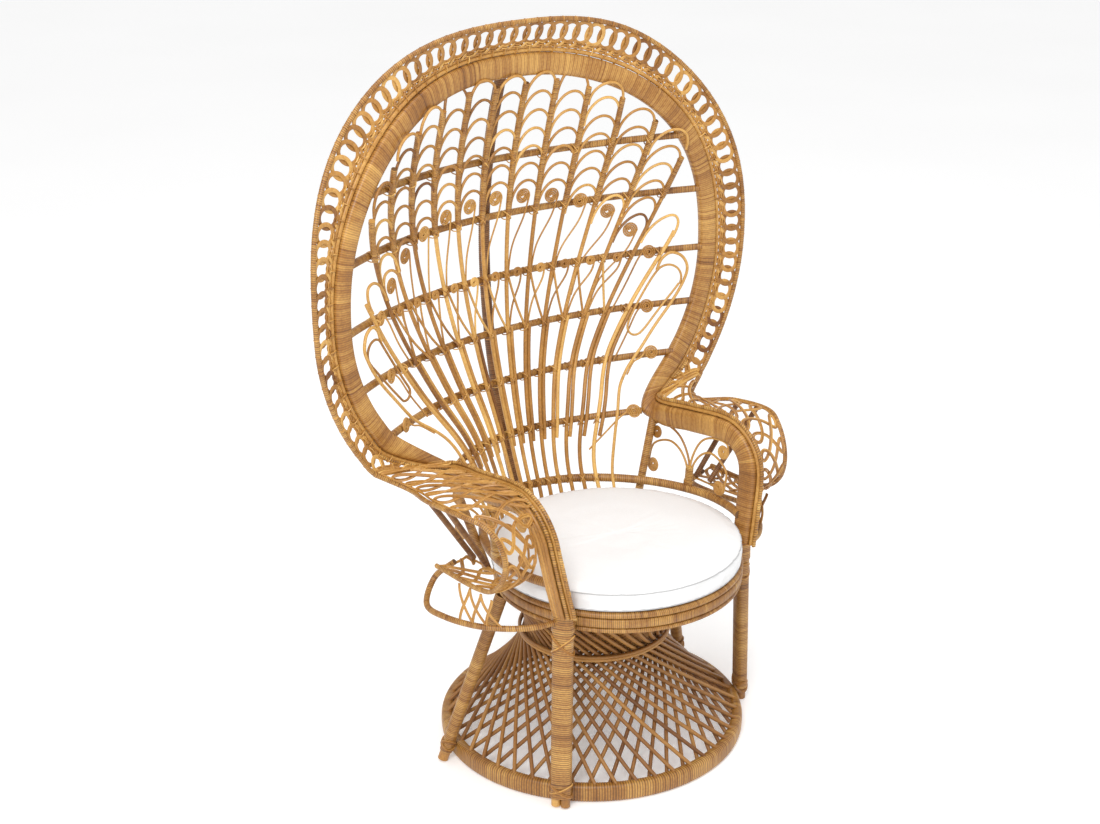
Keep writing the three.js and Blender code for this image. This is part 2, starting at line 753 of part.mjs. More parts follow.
// Lace: a thin curved panel with one six-sided opening in each cell
function lacePanel(across, rows, thickness, opening, owners) {
  const columns = across.length - 1;
  const grid = across.map((line) => Array.from({ length: rows + 1 }, (_, j) => line(j / rows)));
  const facing = grid.map((line, i) =>
    line.map((p, j) => {
      const along = grid[Math.min(i + 1, columns)][j].clone().sub(grid[Math.max(i - 1, 0)][j]);
      const over = line[Math.min(j + 1, rows)].clone().sub(line[Math.max(j - 1, 0)]);
      return along.cross(over).normalize();
    }),
  );
  const points = [];
  const index = [];
  const put = (p) => points.push(p) - 1;
  const pair = (p, n) => [
    put(p.clone().addScaledVector(n, thickness / 2)),
    put(p.clone().addScaledVector(n, -thickness / 2)),
  ];
  const quad = (a, b, c, d) => index.push(a, b, c, a, c, d);
  const corners = grid.map((line, i) => line.map((p, j) => pair(p, facing[i][j])));
  for (let i = 0; i < columns; i++) {
    for (let j = 0; j < rows; j++) {
      const at = (u, v) => {
        const low = grid[i][j].clone().lerp(grid[i + 1][j], u);
        const high = grid[i][j + 1].clone().lerp(grid[i + 1][j + 1], u);
        return low.lerp(high, v);
      };
      const n = facing[i][j].clone().add(facing[i + 1][j + 1]).normalize();
      const hole = opening.map(([u, v]) => pair(at(0.5 + u / 2, 0.5 + v / 2), n));
      const cell = [corners[i][j], corners[i + 1][j], corners[i + 1][j + 1], corners[i][j + 1]];
      const [a, b, c, d] = cell;
      [0, 1].forEach((face) => {
        const turn = (x, y, z) => (face ? index.push(z, y, x) : index.push(x, y, z));
        const rim = cell.map((corner) => corner[face]);
        const h = hole.map((corner) => corner[face]);
        owners.forEach((owner, k) => {
          const before = owners[(k + owners.length - 1) % owners.length];
          turn(rim[owner], h[(k + 1) % h.length], h[k]);
          if (before !== owner) turn(rim[before], rim[owner], h[k]);
        });
      });
      hole.forEach((corner, k) => {
        const next = hole[(k + 1) % hole.length];
        quad(corner[0], next[0], next[1], corner[1]);
      });
      if (i === 0) quad(a[0], d[0], d[1], a[1]);
      if (i === columns - 1) quad(b[1], c[1], c[0], b[0]);
      if (j === 0) quad(a[1], b[1], b[0], a[0]);
      if (j === rows - 1) quad(d[0], c[0], c[1], d[1]);
    }
  }
  return turnedOut(new THREE.BufferGeometry().setFromPoints(points).setIndex(index));
}
const barrel = (along, over) => [
  [-along, 0],
  [-along / 2, -over],
  [along / 2, -over],
  [along, 0],
  [along / 2, over],
  [-along / 2, over],
];
const barrelOwners = [0, 1, 1, 2, 3, 3];
const diamond = (along, over) => [
  [-along, 0],
  [0, -over],
  [along, 0],
  [0, over],
];
const diamondOwners = [0, 1, 2, 3];

const laceStart = trimReach + trimRadius + clearance;
const rimReach = (station) => laceStart + station.lace + 4 * clearance + rimRadius;
const hoopLace = Array.from({ length: laceCount + 1 }, (_, i) => {
  const station = hoopStation(mix(-hoopEndAngle, hoopEndAngle, i / laceCount));
  return (share) => besideBand(station, laceStart + station.lace * share);
});
add("lace_border", lacePanel(hoopLace, 1, laceThickness, barrel(0.7, 0.76), barrelOwners), bareCane);

// The rim runs along the lace round the hoop; on each arm it curls forward, down and back under.
const hoopRim = bothSides(hoopHalf).map((s) => besideBand(s, rimReach(s)));
add("hoop_rim", rod(hoopRim, rimRadius, rimSides), wrappedCane);

const rollTop = rollCentreHeight + rollRadius;
const rollBottom = rollCentreHeight - rollRadius;
const rollAngles = Array.from({ length: rollSegments + 1 }, (_, i) => (Math.PI * (3 + i)) / 6);
function rollPoint(angle) {
  const forward = Math.max(-Math.cos(angle), 0);
  const half = mix(rollTopHalfWidth, rollFrontHalfWidth, angle > Math.PI ? 1 : forward);
  return point(
    half,
    rollCentreDepth + rollRadius * Math.cos(angle),
    rollCentreHeight + rollRadius * Math.sin(angle),
  );
}
const rimStart = hoopRim[hoopRim.length - 1];
const rollLine = [
  point(rollNeckHalfWidth, rollNeckDepth, rollNeckHeight),
  point(rollTopHalfWidth, 0, mix(rollNeckHeight, rollTop, 0.75)),
  ...rollAngles.map(rollPoint),
  point(rollFrontHalfWidth, rollTailDepth, rollBottom),
];
const rimGap = 2 * clearance;
const rimEnd = rimStart.clone().add(
  rollLine[0].clone().sub(rimStart).normalize().multiplyScalar(rimGap + rimRadius),
);

// The arm lace hangs between the trim and the rim, and under the roll between the rim and a free edge.
const trimStations = wholeRun.slice(hoopSteps + 2, wholeRun.length - 5);
const laceTop = trimStations.map((s) => besideBand(s, trimReach));
const freeAngles = Array.from({ length: 6 }, (_, i) => Math.PI * mix(0.8, 1.5, i / 5));
const laceFree = freeAngles.map((angle) => rollPoint(angle).setX(rollInnerHalfWidth));
const laceInner = [...laceTop, ...laceFree, point(rollInnerHalfWidth, rollTailDepth, rollBottom)];
const rimCurve = new THREE.CatmullRomCurve3([rimEnd, ...rollLine], false, "centripetal");
const rollLace = laceInner.map((low, i) => {
  const share = i / (laceInner.length - 1);
  const high = rimCurve.getPointAt(share);
  const over = high.clone().sub(low);
  const run = rimCurve.getTangentAt(share);
  const slant = over.clone().normalize().cross(run).length();
  const lift = run.clone().cross(over).normalize();
  const rollAxis = point(high.x, rollCentreDepth, rollCentreHeight);
  const away = i < laceTop.length ? point(0, 0, 1) : high.clone().sub(rollAxis);
  if (lift.dot(away) < 0) lift.negate();
  const start = i < laceTop.length ? (trimRadius + 14 * clearance) / over.length() : 0;
  const reach = 1 - (rimRadius + 4 * clearance) / (over.length() * slant);
  return (across) => {
    const at = mix(start, reach, across);
    return low.clone().lerp(high, at).addScaledVector(lift, rollLaceCrown * 4 * at * (1 - at));
  };
});
const rollSheet = lacePanel(rollLace, rollLaceRows, laceThickness, diamond(0.75, 0.75), diamondOwners);
const armRim = laceInner.map((_, i) => rimCurve.getPointAt(i / (laceInner.length - 1)));
const rollRimSolid = rod(armRim, rimRadius, rimSides);

// A loop of rod from the front leg round under the roll
const loopStart = frontHead.clone().lerp(frontFoot, 1 - armLoopHeight / frontLegTop);
const loopSide = frontHead.x + armLoopReach;
const loopRise = mix(armLoopHeight, rollBottom, 0.4);
const armLoop = smooth(
  [
    loopStart,
    point(mix(loopStart.x, loopSide, 0.4), loopStart.y + armLoopReach * 0.1, armLoopHeight),
    point(mix(loopStart.x, loopSide, 0.8), loopStart.y + armLoopReach * 0.47, armLoopHeight),
    point(loopSide, loopStart.y + armLoopReach, armLoopHeight),
    point(loopSide - armLoopRadius, loopStart.y + armLoopReach * 1.4, armLoopHeight),
    point(mix(loopStart.x, loopSide, 0.68), rollTailDepth + 6 * armLoopRadius, loopRise),
    point(mix(rollInnerHalfWidth, rollFrontHalfWidth, 0.5), rollTailDepth - 1.5 * armLoopRadius, rollBottom),
  ],
  16,
);
const roomForLace = solidOf(
  lacePanel(rollLace, rollLaceRows, laceThickness + 2 * clearance, diamond(0.75, 0.75), diamondOwners),
);
const roomForRim = solidOf(rod(armRim, rimRadius + clearance, rimSides));
const legRoomOutline = legOutline(
  frontLegThickness / 2 + clearance,
  frontLegWidth / 2 + clearance,
  frontLegThickness / 4,
);
const roomForLeg = (way) =>
  solidOf(
    skin([
      legRing(footOn(way), legRoomOutline, footAngle(way)),
      legRing(frontHead, legRoomOutline, frontLegTopAngle),
    ]),
  );
const armLoopSolid = (way) =>
  mainBody(
    solidOf(rod(armLoop, armLoopRadius, ringSides))
      .subtract(armCutterLeft)
      .subtract(roomForLeg(way))
      .subtract(roomForLace),
  );

// Two struts stand between the free edge of the roll and the rim above.
const strutFloor = rollBottom + laceThickness / 2 + clearance;
function strut(headDepth, footDepth) {
  const foot = point(rollInnerHalfWidth + strutRadius / 2, footDepth, rollBottom);
  const head = rimCurve
    .getPoints(poleSegments * 10)
    .slice(0, poleSegments * 5)
    .reduce((a, b) => (Math.abs(a.y - headDepth) < Math.abs(b.y - headDepth) ? a : b));
  const whole = solidOf(rod([foot, head], strutRadius, roundSides));
  return mainBody(whole.subtract(roomForRim).subtract(roomForLace).trimByPlane([0, 0, 1], strutFloor));
}
const strutSolids = strutHeadDepths.map((headDepth, i) => strut(headDepth, strutFootDepths[i]));
sides.forEach(([side, way]) => {
  add("arm_lace_" + side, onSide(rollSheet, way), bareCane);
  add("arm_rim_" + side, onSide(rollRimSolid, way), wrappedCane);
  add("arm_loop_" + side, onSide(surfaceOf(armLoopSolid(way)), way), wrappedCane);
  strutSolids.forEach((solid, i) => {
    add("arm_strut_" + side + "_" + (i + 1), onSide(surfaceOf(solid), way), darkCane);
  });
});

// The back is a dish: deepest on the middle line, its edge on the hoop.
const dishFall = (dishDepth - seatRailDepth) / (dishDeepestHeight - seatRailHeight) ** 2;
const dishTopRise = hoopCentreHeight + hoopHalfHeight - dishDeepestHeight;
const dishTopFall = (dishDepth - hoopTopDepth) / dishTopRise ** 2;
const dishMiddle = (z) => {
  const above = z - dishDeepestHeight;
  return dishDepth - (above > 0 ? dishTopFall : dishFall) * above ** 2;
};
function hoopReach(z) {
  const share = (z - hoopCentreHeight) / hoopHalfHeight;
  const power = share > 0 ? hoopRoundness : 1;
  return hoopHalfWidth * Math.max(1 - Math.abs(share) ** (2 / power), 0.1) ** (power / 2);
}
function edgeDepth(z) {
  const share = Math.min(Math.max((z - hoopCentreHeight) / hoopHalfHeight, 0), 1);
  return hoopSideDepth + hoopLean * share ** (hoopLeanPower / hoopRoundness);
}
const dishCurl = (z) => (dishMiddle(z) - edgeDepth(z)) / hoopReach(z) ** 2;
const neckCurl = (dishMiddle(neckHeight) - neckDepth) / neckHalfWidth ** 2;
const footHalfWidth = spokeFootPitch * (spokesPerSide - 0.5);
const railBend = (share) => (1 - share ** seatRailRoundness) ** (1 / seatRailRoundness);
const footDepthAtSide = seatRailMiddleDepth + seatRailReach * railBend(footHalfWidth / seatRailHalfWidth);
const footCurl = (seatRailDepth - footDepthAtSide) / footHalfWidth ** 2;
const shoulderHeight = railHeights[4];
function curl(z) {
  if (z >= shoulderHeight) return dishCurl(z);
  if (z >= neckHeight) {
    return mix(neckCurl, dishCurl(shoulderHeight), (z - neckHeight) / (shoulderHeight - neckHeight));
  }
  return mix(footCurl, neckCurl, (z - seatRailHeight) / (neckHeight - seatRailHeight));
}
const dishY = (x, z) => dishMiddle(z) - curl(z) * x * x;
// A point on the dish, moved toward the sitter by the given distance
function onDish(x, z, forward) {
  const step = 2;
  const slopeX = (dishY(x + step, z) - dishY(x - step, z)) / (2 * step);
  const slopeZ = (dishY(x, z + step) - dishY(x, z - step)) / (2 * step);
  return point(x, dishY(x, z), z).addScaledVector(point(slopeX, -1, slopeZ).normalize(), forward);
}

// Six rails across the hoop, cut to its inner edge
railHeights.forEach((height, i) => {
  const lowest = i === railHeights.length - 1;
  const rise = lowest ? neckHeight - height : railRise;
  const reach = lowest ? neckHalfWidth : hoopReach(height + rise);
  const past = 1 + bandSideWidth / (lowest ? 8 * reach : 3 * reach);
  const line = Array.from({ length: railSegments + 1 }, (_, j) => {
    const share = mix(-past, past, j / railSegments);
    return onDish(reach * share, height + rise * share * share, 0);
  });
  add("back_rail_" + (i + 1), surfaceOf(clearOfBand(solidOf(rod(line, railRadius, rimSides)))), wrappedCane);
});

// Seat rail: one wrapped rod from the inside of one front post round the back to the other
const seatRailHalf = Array.from({ length: seatRailSteps + 1 }, (_, i) => {
  const angle = (Math.PI * i) / (2 * seatRailSteps);
  return point(
    seatRailHalfWidth * Math.sin(angle) ** (2 / seatRailRoundness),
    seatRailMiddleDepth + seatRailReach * Math.cos(angle) ** (2 / seatRailRoundness),
    seatRailHeight,
  );
});
const seatRailFront = Array.from({ length: seatRailFrontSteps }, (_, i) => {
  const share = (i + 1) / seatRailFrontSteps;
  const y = mix(seatRailMiddleDepth, armFoot.y + frontLegWidth / 4, share);
  return point(Math.sqrt(seatRailHalfWidth ** 2 - (y - seatRailMiddleDepth) ** 2), y, seatRailHeight);
});
const seatRailRight = [...seatRailHalf, ...seatRailFront];
const seatRailLine = [...seatRailRight.slice(1).reverse().map(mirrored), ...seatRailRight];
add("seat_rail", surfaceOf(clearOfBand(solidOf(rod(seatRailLine, seatRailRadius, ringSides)))), wrappedCane);

// Rear posts: from under the arm at the neck down to the outside of the seat
const postFoot = onCircle(
  seatRingOuterRadius + clearance + rearPostRadius,
  rearPostAngle,
  -seatForward,
  rearPostBottomHeight,
);
const postHead = point(armStations[0].inner.x, rearPostTopDepth, armStations[0].inner.z + bandThickness);
const postSolid = clearOfBand(solidOf(rod([postFoot, postHead], rearPostRadius, roundSides)));
sides.forEach(([side, way]) => add("rear_post_" + side, onSide(surfaceOf(postSolid), way), wrappedCane));

// Centre pole behind the rails
const behindRails = railRadius + poleRadius + clearance;
const poleFoot = seatRailHeight - 2 * poleRadius;
const poleHead = hoopCentreHeight + hoopHalfHeight + poleRadius;
const poleLine = Array.from({ length: poleSegments + 1 }, (_, i) => {
  return onDish(0, mix(poleFoot, poleHead, i / poleSegments), -behindRails);
});
add("centre_pole", surfaceOf(clearOfBand(solidOf(rod(poleLine, poleRadius, roundSides)))), darkCane);

// Fan canes in front of the rails, joined in pairs by the scale arches between them
const beforeRails = railRadius + spokeRadius + 3 * clearance;
function spokePitch(z) {
  const share = Math.min(Math.max((z - seatRailHeight) / spokeFanHeight, 0), 1);
  return mix(spokeFootPitch, spokeTopPitch, Math.sin((share * Math.PI) / 2) ** spokeFanPower);
}
// The canes stand half a pitch to each side of the pole, and the outermost leans out to the neck.
const spokeReach = (k, z) => {
  if (k < spokesPerSide) return (k - 0.5) * spokePitch(z);
  const share = (z - seatRailHeight) / (neckHeight - seatRailHeight);
  return mix(footHalfWidth, neckHalfWidth - spokeRadius, share);
};
function spokeTop(k) {
  if (k === spokesPerSide) return neckHeight - railRadius;
  let z = hoopCentreHeight;
  while (spokeReach(k, z) < hoopReach(z) && z < hoopCentreHeight + hoopHalfHeight) z += 2;
  return z + bandThickness / 2;
}
function spoke(k) {
  const top = spokeTop(k);
  const foot = k > canesBehindCushion ? seatRailHeight - seatRailRadius : spokeFootHeight;
  const steps = k === spokesPerSide ? 4 : k < 4 ? 9 : 16;
  const lift = (share) => (k === spokesPerSide ? mix(clearance, spokeRadius, share) : 0);
  const line = Array.from({ length: steps + 1 }, (_, i) => {
    const z = mix(seatRailHeight, top, i / steps);
    return onDish(spokeReach(k, z), z, beforeRails + lift(i / steps));
  });
  line.unshift(line[0].clone().setZ(foot));
  return rod(line, spokeRadius, caneSides);
}
function arch(k, height, shortOf) {
  const line = Array.from({ length: 5 }, (_, i) => {
    const share = i / 4;
    const rise = archRise * spokePitch(height) * Math.sin(Math.PI * share ** 1.3);
    const z = height + rise;
    return onDish(mix(spokeReach(k, height), spokeReach(k + 1, height) - shortOf, share), z, beforeRails);
  });
  return rod(line, archRadius, caneSides);
}
function archesBetween(k, shortOf) {
  const made = [];
  const room = (height) => height + archRise * spokePitch(height) + archPitch / 2;
  const first = archFirstHeight - archOutwardDrop * Math.max(k - 3, 0);
  for (let height = first; room(height) < spokeTop(k + 1); height += archPitch) {
    made.push(arch(k, height, shortOf));
  }
  return made;
}
// Inside a group an arch runs into both canes; toward the next group it ends beside the cane there.
const besideCane = spokeRadius + archRadius + 2 * clearance;
const fanOf = (ks, further) => {
  const pieces = ks.map(spoke);
  ks.slice(1).forEach((k) => pieces.push(...archesBetween(k - 1, 0)));
  if (further) pieces.push(...archesBetween(ks[ks.length - 1], besideCane));
  return pieces;
};
const fanGroups = [[1, 2], [3, 4], [5, 6], [7], [8]];
// The arches over the pole belong to the canes on the sitter's right.
const poleArches = archesBetween(0, besideCane);
fanGroups.forEach((ks, i) => {
  const canes = fanOf(ks, i < 3);
  sides.forEach(([side, way]) => {
    const pieces = canes.map((geometry) => onSide(geometry, way));
    if (i === 0 && way < 0) pieces.push(...poleArches);
    add("fan_canes_" + side + "_" + (i + 1), surfaceOf(clearOfBand(joined(pieces))), bareCane);
  });
});

// Arm panel: a stem of four canes that arch over and end in curls
const panelFoot = seatRailHeight + seatRailRadius;
const panelRoom = armCornerHeight - armBandWidth / 2 - panelFoot;
const panelHalfWidth =
  seatRailHalfWidth * railBend((curlStemDepth - seatRailMiddleDepth) / seatRailReach);
function curlCane(way, shift, arcRadius, height) {
  const stem = curlStemDepth + way * shift;
  const foot = panelFoot + clearance;
  const top = panelFoot + height;
  const centre = stem + way * arcRadius;
  const arc = Array.from({ length: curlArcSegments + 1 }, (_, i) => {
    const angle = Math.PI * (1 - i / curlArcSegments);
    return [centre + way * arcRadius * Math.cos(angle), top + arcRadius * Math.sin(angle)];
  });
  const eyeCentre = centre + way * (arcRadius - curlEyeRadius);
  const eye = Array.from({ length: curlArcSegments + 1 }, (_, i) => {
    const angle = -(i + 1) * curlEyeTurn;
    const radius = curlEyeRadius * (1 - curlEyeTightening * (i + 1));
    return [eyeCentre + way * radius * Math.cos(angle), top - curlEyeRadius / 2 + radius * Math.sin(angle)];
  });
  const side = [[stem, foot], [stem, mix(foot, top, 0.5)], ...arc, ...eye];
  return rod(
    side.map(([y, z]) => point(panelHalfWidth + (z - foot) * curlLean, y, z)),
    curlRadius,
    caneSides,
  );
}
const curlCanes = [-1, 1].flatMap((way) => [
  curlCane(way, curlTallShift, panelRoom * curlTallRadiusShare, panelRoom * curlTallHeightShare),
  curlCane(way, curlShortShift, panelRoom * curlShortRadiusShare, panelRoom * curlShortHeightShare),
]);
const curlSolid = joined(curlCanes);
sides.forEach(([side, way]) => add("arm_curls_" + side, onSide(surfaceOf(curlSolid), way), bareCane));

// The part's origin is the middle of its footprint, on the floor.
const extent = new THREE.Box3().setFromObject(chair);
const middleDepth = (extent.min.y + extent.max.y) / 2;
chair.children.forEach((mesh) => mesh.position.set(0, -middleDepth, 0));

export default chair;
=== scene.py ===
"""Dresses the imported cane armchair: canes, wraps, rings and scrolls over the frame, and a sewn cushion."""

import math

import bpy
import numpy as np
from mathutils import Matrix, Vector


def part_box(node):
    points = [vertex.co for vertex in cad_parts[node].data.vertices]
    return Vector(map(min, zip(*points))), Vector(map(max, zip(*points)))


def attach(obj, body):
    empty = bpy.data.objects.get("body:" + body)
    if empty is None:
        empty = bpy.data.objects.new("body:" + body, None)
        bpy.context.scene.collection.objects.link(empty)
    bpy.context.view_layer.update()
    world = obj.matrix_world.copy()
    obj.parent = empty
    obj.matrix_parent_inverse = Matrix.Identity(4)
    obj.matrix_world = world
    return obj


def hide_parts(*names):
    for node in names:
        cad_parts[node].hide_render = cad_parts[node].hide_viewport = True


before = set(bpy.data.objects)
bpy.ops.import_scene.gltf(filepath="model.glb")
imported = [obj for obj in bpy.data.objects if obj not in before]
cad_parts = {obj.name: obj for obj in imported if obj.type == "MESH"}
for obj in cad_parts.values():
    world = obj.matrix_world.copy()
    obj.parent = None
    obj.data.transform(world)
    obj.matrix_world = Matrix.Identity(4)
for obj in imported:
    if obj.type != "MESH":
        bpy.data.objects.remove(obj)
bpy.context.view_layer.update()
rng = np.random.default_rng(11)

# Sizes are in millimetres from the axis of the base hoop; the frame is in metres
MM = 0.001
hoop_low, hoop_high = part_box("base_hoop")
AXIS_DEPTH = (hoop_low.y + hoop_high.y) / 2
SIDES = (("left", 1), ("right", -1))
POINTS_PER_STATION = 16

BASE_RADIUS = 303
BASE_HALF_THICKNESS = 12
BASE_HALF_HEIGHT = 18.5
SEAT_RADIUS = 241
SEAT_DEPTH = -78
UPPER_RING_HEIGHT = 401.5
WAIST_RADIUS = 153.15
WAIST_DEPTH = -7
WAIST_HEIGHT = 230

HOOP_HALF_WIDTH = 448
HOOP_HALF_HEIGHT = 390
HOOP_CENTRE = 924
HOOP_SIDE_DEPTH = 160
HOOP_TOP_LEAN = 85
HOOP_LEAN_POWER = 4.25
HOOP_ROUNDNESS = 0.86
HOOP_END = math.radians(126)
HOOP_STEPS = 20
BAND_THICKNESS = 25
BAND_PITCH = 4.2
NECK = (250, 122, 597)
NECK_TILT = math.radians(25.5)
NECK_WIDTH = 45
LEG_TOP = 412
ARM_TOP = 621
ARM_HALF_WIDTH = 272
ARM_BEND = 80
SEAT_RAIL_HEIGHT = 460
SEAT_RAIL_HALF_WIDTH = 262
SEAT_RAIL_REACH = 295
SEAT_RAIL_DEPTH = -73
SEAT_RAIL_ROUNDNESS = 1.79
RAIL_HEIGHTS = (1146, 1026, 897, 782, 679, 570)
RAIL_RADIUS = 8
RAIL_RISE = 15
LOW_RAIL_REACH = 250
LOW_RAIL_RISE = 27
STEM_FORWARD = 14.4
POLE_BEHIND = 20.3
TRIM_REACH = 5.4
LACE_START = 10.2
LACE_WIDTH = 57.5
LACE_END_SHARE = 0.652
RIM_PAST = 7.7


def vec(*values):
    return np.array(values, float)


UP = vec(0, 0, 1)


def mix(a, b, t):
    return a + (b - a) * t


def unit(v):
    return v / np.linalg.norm(v, axis=-1, keepdims=True)


def signed_power(value, power):
    return np.sign(value) * np.abs(value) ** power


def place(points):
    """Millimetres from the base axis, as metres in the frame."""
    placed = np.asarray(points, float) * MM
    placed[:, 1] += AXIS_DEPTH
    return placed


def mirrored(points, way=-1):
    return np.asarray(points, float) * vec(way, 1, 1)


def sample(at, marks, rows):
    """Rows read at places between their marks."""
    return np.stack([np.interp(at, marks, column) for column in rows.T], axis=1)


def dense(stations, key=None):
    """Points on a centripetal Catmull-Rom curve through the stations, spaced by their key points."""
    p = np.asarray(stations, float)
    key = p if key is None else key
    ends = np.vstack([2 * p[0] - p[1], p, 2 * p[-1] - p[-2]])
    gaps = np.linalg.norm(np.diff(key, axis=0), axis=1)
    gaps = np.sqrt(np.concatenate([gaps[:1], gaps, gaps[-1:]]) + 1e-9)
    s = np.linspace(0, 1, POINTS_PER_STATION, endpoint=False)[:, None]
    pieces = []
    for i in range(len(p) - 1):
        a, b, c, d = ends[i : i + 4]
        ab, bc, cd = gaps[i : i + 3]
        leave = ((b - a) / ab - (c - a) / (ab + bc) + (c - b) / bc) * bc
        arrive = ((c - b) / bc - (d - b) / (bc + cd) + (d - c) / cd) * bc
        rise = s * s * (3 - 2 * s)
        pieces.append(b + (c - b) * rise + leave * s * (1 - s) ** 2 - arrive * s * s * (1 - s))
    return np.vstack(pieces + [p[-1:]])


def even(points, step, key=None):
    """The same line with its points an even step apart."""
    key = points if key is None else key
    along = np.concatenate([[0], np.cumsum(np.linalg.norm(np.diff(key, axis=0), axis=1))])
    count = max(int(round(along[-1] / step)), 2)
    return sample(np.linspace(0, along[-1], count + 1), along, points)


def curve(stations, step):
    return even(dense(stations), step)


def full_turn(count):
    return np.arange(count) * 2 * math.pi / count


def loop(centre, first, second, count):
    """A closed ring of points round a centre."""
    turn = full_turn(count)
    return centre + np.cos(turn)[:, None] * first + np.sin(turn)[:, None] * second


def on_circle(radius, degrees, depth, height):
    turn = math.radians(degrees)
    return vec(radius * math.cos(turn), depth + radius * math.sin(turn), height)


def frames(path, closed=False, first=None):
    """Two ways across a line that turn as little as they can."""
    if closed:
        along = unit(np.roll(path, -1, 0) - np.roll(path, 1, 0))
    else:
        along = unit(np.gradient(path, axis=0))
    if first is None:
        first = np.eye(3)[np.argmin(np.abs(along[0]))]
    side = np.asarray(first, float)
    across = np.empty_like(along)
    for i, t in enumerate(along):
        side = side - t * side.dot(t)
        side = side / math.sqrt(side.dot(side))
        across[i] = side
    return across, np.cross(along, across)


STRIP_HALF = np.array([[1, 0.4], [0.75, 1], [-0.75, 1], [-1, 0.4]])
STRIP_SECTION = np.vstack([STRIP_HALF, -STRIP_HALF])


class Weave:
    """One mesh of many canes; each point carries the tone of its strip and, for rings in a groove, a weight
    of painted shade.
    """

    def __init__(self):
        self.points = []
        self.tones = []
        self.grooves = []
        self.quads = []
        self.caps = []
        self.count = 0

    def skin(self, rings, tones, grooves, closed):
        rows, sides = rings.shape[:2]
        index = self.count + np.arange(rows * sides).reshape(rows, sides)
        here = index if closed else index[:-1]
        following = np.roll(index, -1, 0) if closed else index[1:]
        corners = [here, np.roll(here, -1, 1), np.roll(following, -1, 1), following]
        self.quads.append(np.stack(corners, axis=-1).reshape(-1, 4))
        if not closed:
            self.caps += [index[0][::-1], index[-1]]
        self.points.append(rings.reshape(-1, 3))
        self.tones.append(np.repeat(tones, sides))
        self.grooves.append(np.repeat(grooves, sides))
        self.count += rows * sides

    def plain(self, rings, mean, spread, closed):
        tone = np.clip(rng.normal(mean, spread), 0, 1)
        self.skin(rings, np.full(len(rings), tone), np.zeros(len(rings)), closed)

    def bare(self, path, radius, sides=8, closed=False, first=None):
        """A bare round cane."""
        across, through = frames(path, closed, first)
        turn = full_turn(sides)[:, None]
        rings = path[:, None] + radius * (across[:, None] * np.cos(turn) + through[:, None] * np.sin(turn))
        self.plain(rings, 0.5, 0.14, closed)

    def strip(self, path, across, through, half_width, half_thickness, closed=False):
        """A flat split cane with eased corners."""
        wide = across[:, None] * STRIP_SECTION[:, :1] * half_width
        deep = through[:, None] * STRIP_SECTION[:, 1:] * half_thickness
        self.plain(path[:, None] + wide + deep, 0.4, 0.16, closed)

    def wrap(
        self,
        path,
        across,
        through,
        half_width,
        half_thickness,
        sides,
        power=2,
        sink=0.5,
        lean=0,
        closed=False,
        groove=0.9,
    ):
        """Strips wound side by side: every third ring lies in the groove between two turns and takes painted
        shade.
        """
        turn = full_turn(sides)
        wide = signed_power(np.cos(turn), 2 / power)[:, None]
        deep = signed_power(np.sin(turn), 2 / power)[:, None]
        rows = len(path)
        in_groove = np.arange(rows) % 3 == 0
        sunk = np.where(in_groove, sink, 0)
        half_width = (half_width - sunk)[:, None, None]
        half_thickness = (half_thickness - sunk)[:, None, None]
        rings = path[:, None] + across[:, None] * half_width * wide + through[:, None] * half_thickness * deep
        rings = rings + np.cross(across, through)[:, None] * (lean * np.cos(turn))[:, None]
        turns = np.arange(rows // 3 + 2)
        drift = np.sin(turns * 0.05) + np.sin(turns * 0.23 + rng.random() * 6)
        strips = np.clip(rng.normal(0.55, 0.1, len(turns)) + 0.06 * drift, 0, 1)
        # The groove values mark the rings in the grooves, which the material darkens as painted shade
        self.skin(rings, strips[(np.arange(rows) + 1) // 3], np.where(in_groove, groove, 0), closed)

    def wound(self, path, radius, pitch, sides=10):
        """A round cane under a wound strip."""
        path = even(path, pitch / 3)
        self.wrap(path, *frames(path), radius, radius, sides, lean=pitch / 4)

    def piece(self, name, looks, nodes=(), body="chair"):
        material, slot = looks
        points = place(np.vstack(self.points))
        quads = np.vstack(self.quads)
        corners = np.concatenate([quads.ravel(), *self.caps])
        cap_sizes = [len(cap) for cap in self.caps]
        starts = np.concatenate([np.arange(len(quads)) * 4, quads.size + np.cumsum([0, *cap_sizes])[:-1]])
        mesh = bpy.data.meshes.new(name)
        mesh.vertices.add(len(points))
        mesh.vertices.foreach_set("co", points.ravel())
        mesh.loops.add(len(corners))
        mesh.loops.foreach_set("vertex_index", corners.astype(np.int32))
        mesh.polygons.add(len(starts))
        mesh.polygons.foreach_set("loop_start", starts.astype(np.int32))
        mesh.update(calc_edges=True)
        for label, values in (("tone", self.tones), ("groove", self.grooves)):
            attribute = mesh.attributes.new(label, "FLOAT", "POINT")
            attribute.data.foreach_set("value", np.concatenate(values).astype(np.float32))
        mesh.polygons.foreach_set("use_smooth", np.ones(len(starts), bool))
        mesh.set_sharp_from_angle(angle=math.radians(55))
        mesh.materials.append(material)
        piece = bpy.data.objects.new(name, mesh)
        bpy.context.scene.collection.objects.link(piece)
        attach(piece, body)
        if nodes:
            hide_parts(*nodes)

    def dress(self, node, ending, looks):
        """The piece that takes the place of one node."""
        self.piece(node + "_" + ending, looks, [node])


# Materials
def shader(name, roughness, coat=0.0, sheen=0.0):
    material = bpy.data.materials.new(name)
    material.use_nodes = True
    tree = material.node_tree
    surface = tree.nodes["Principled BSDF"]
    surface.inputs["Roughness"].default_value = roughness
    surface.inputs["Coat Weight"].default_value = coat
    surface.inputs["Coat Roughness"].default_value = 0.35
    surface.inputs["Sheen Weight"].default_value = sheen
    return material, tree, surface


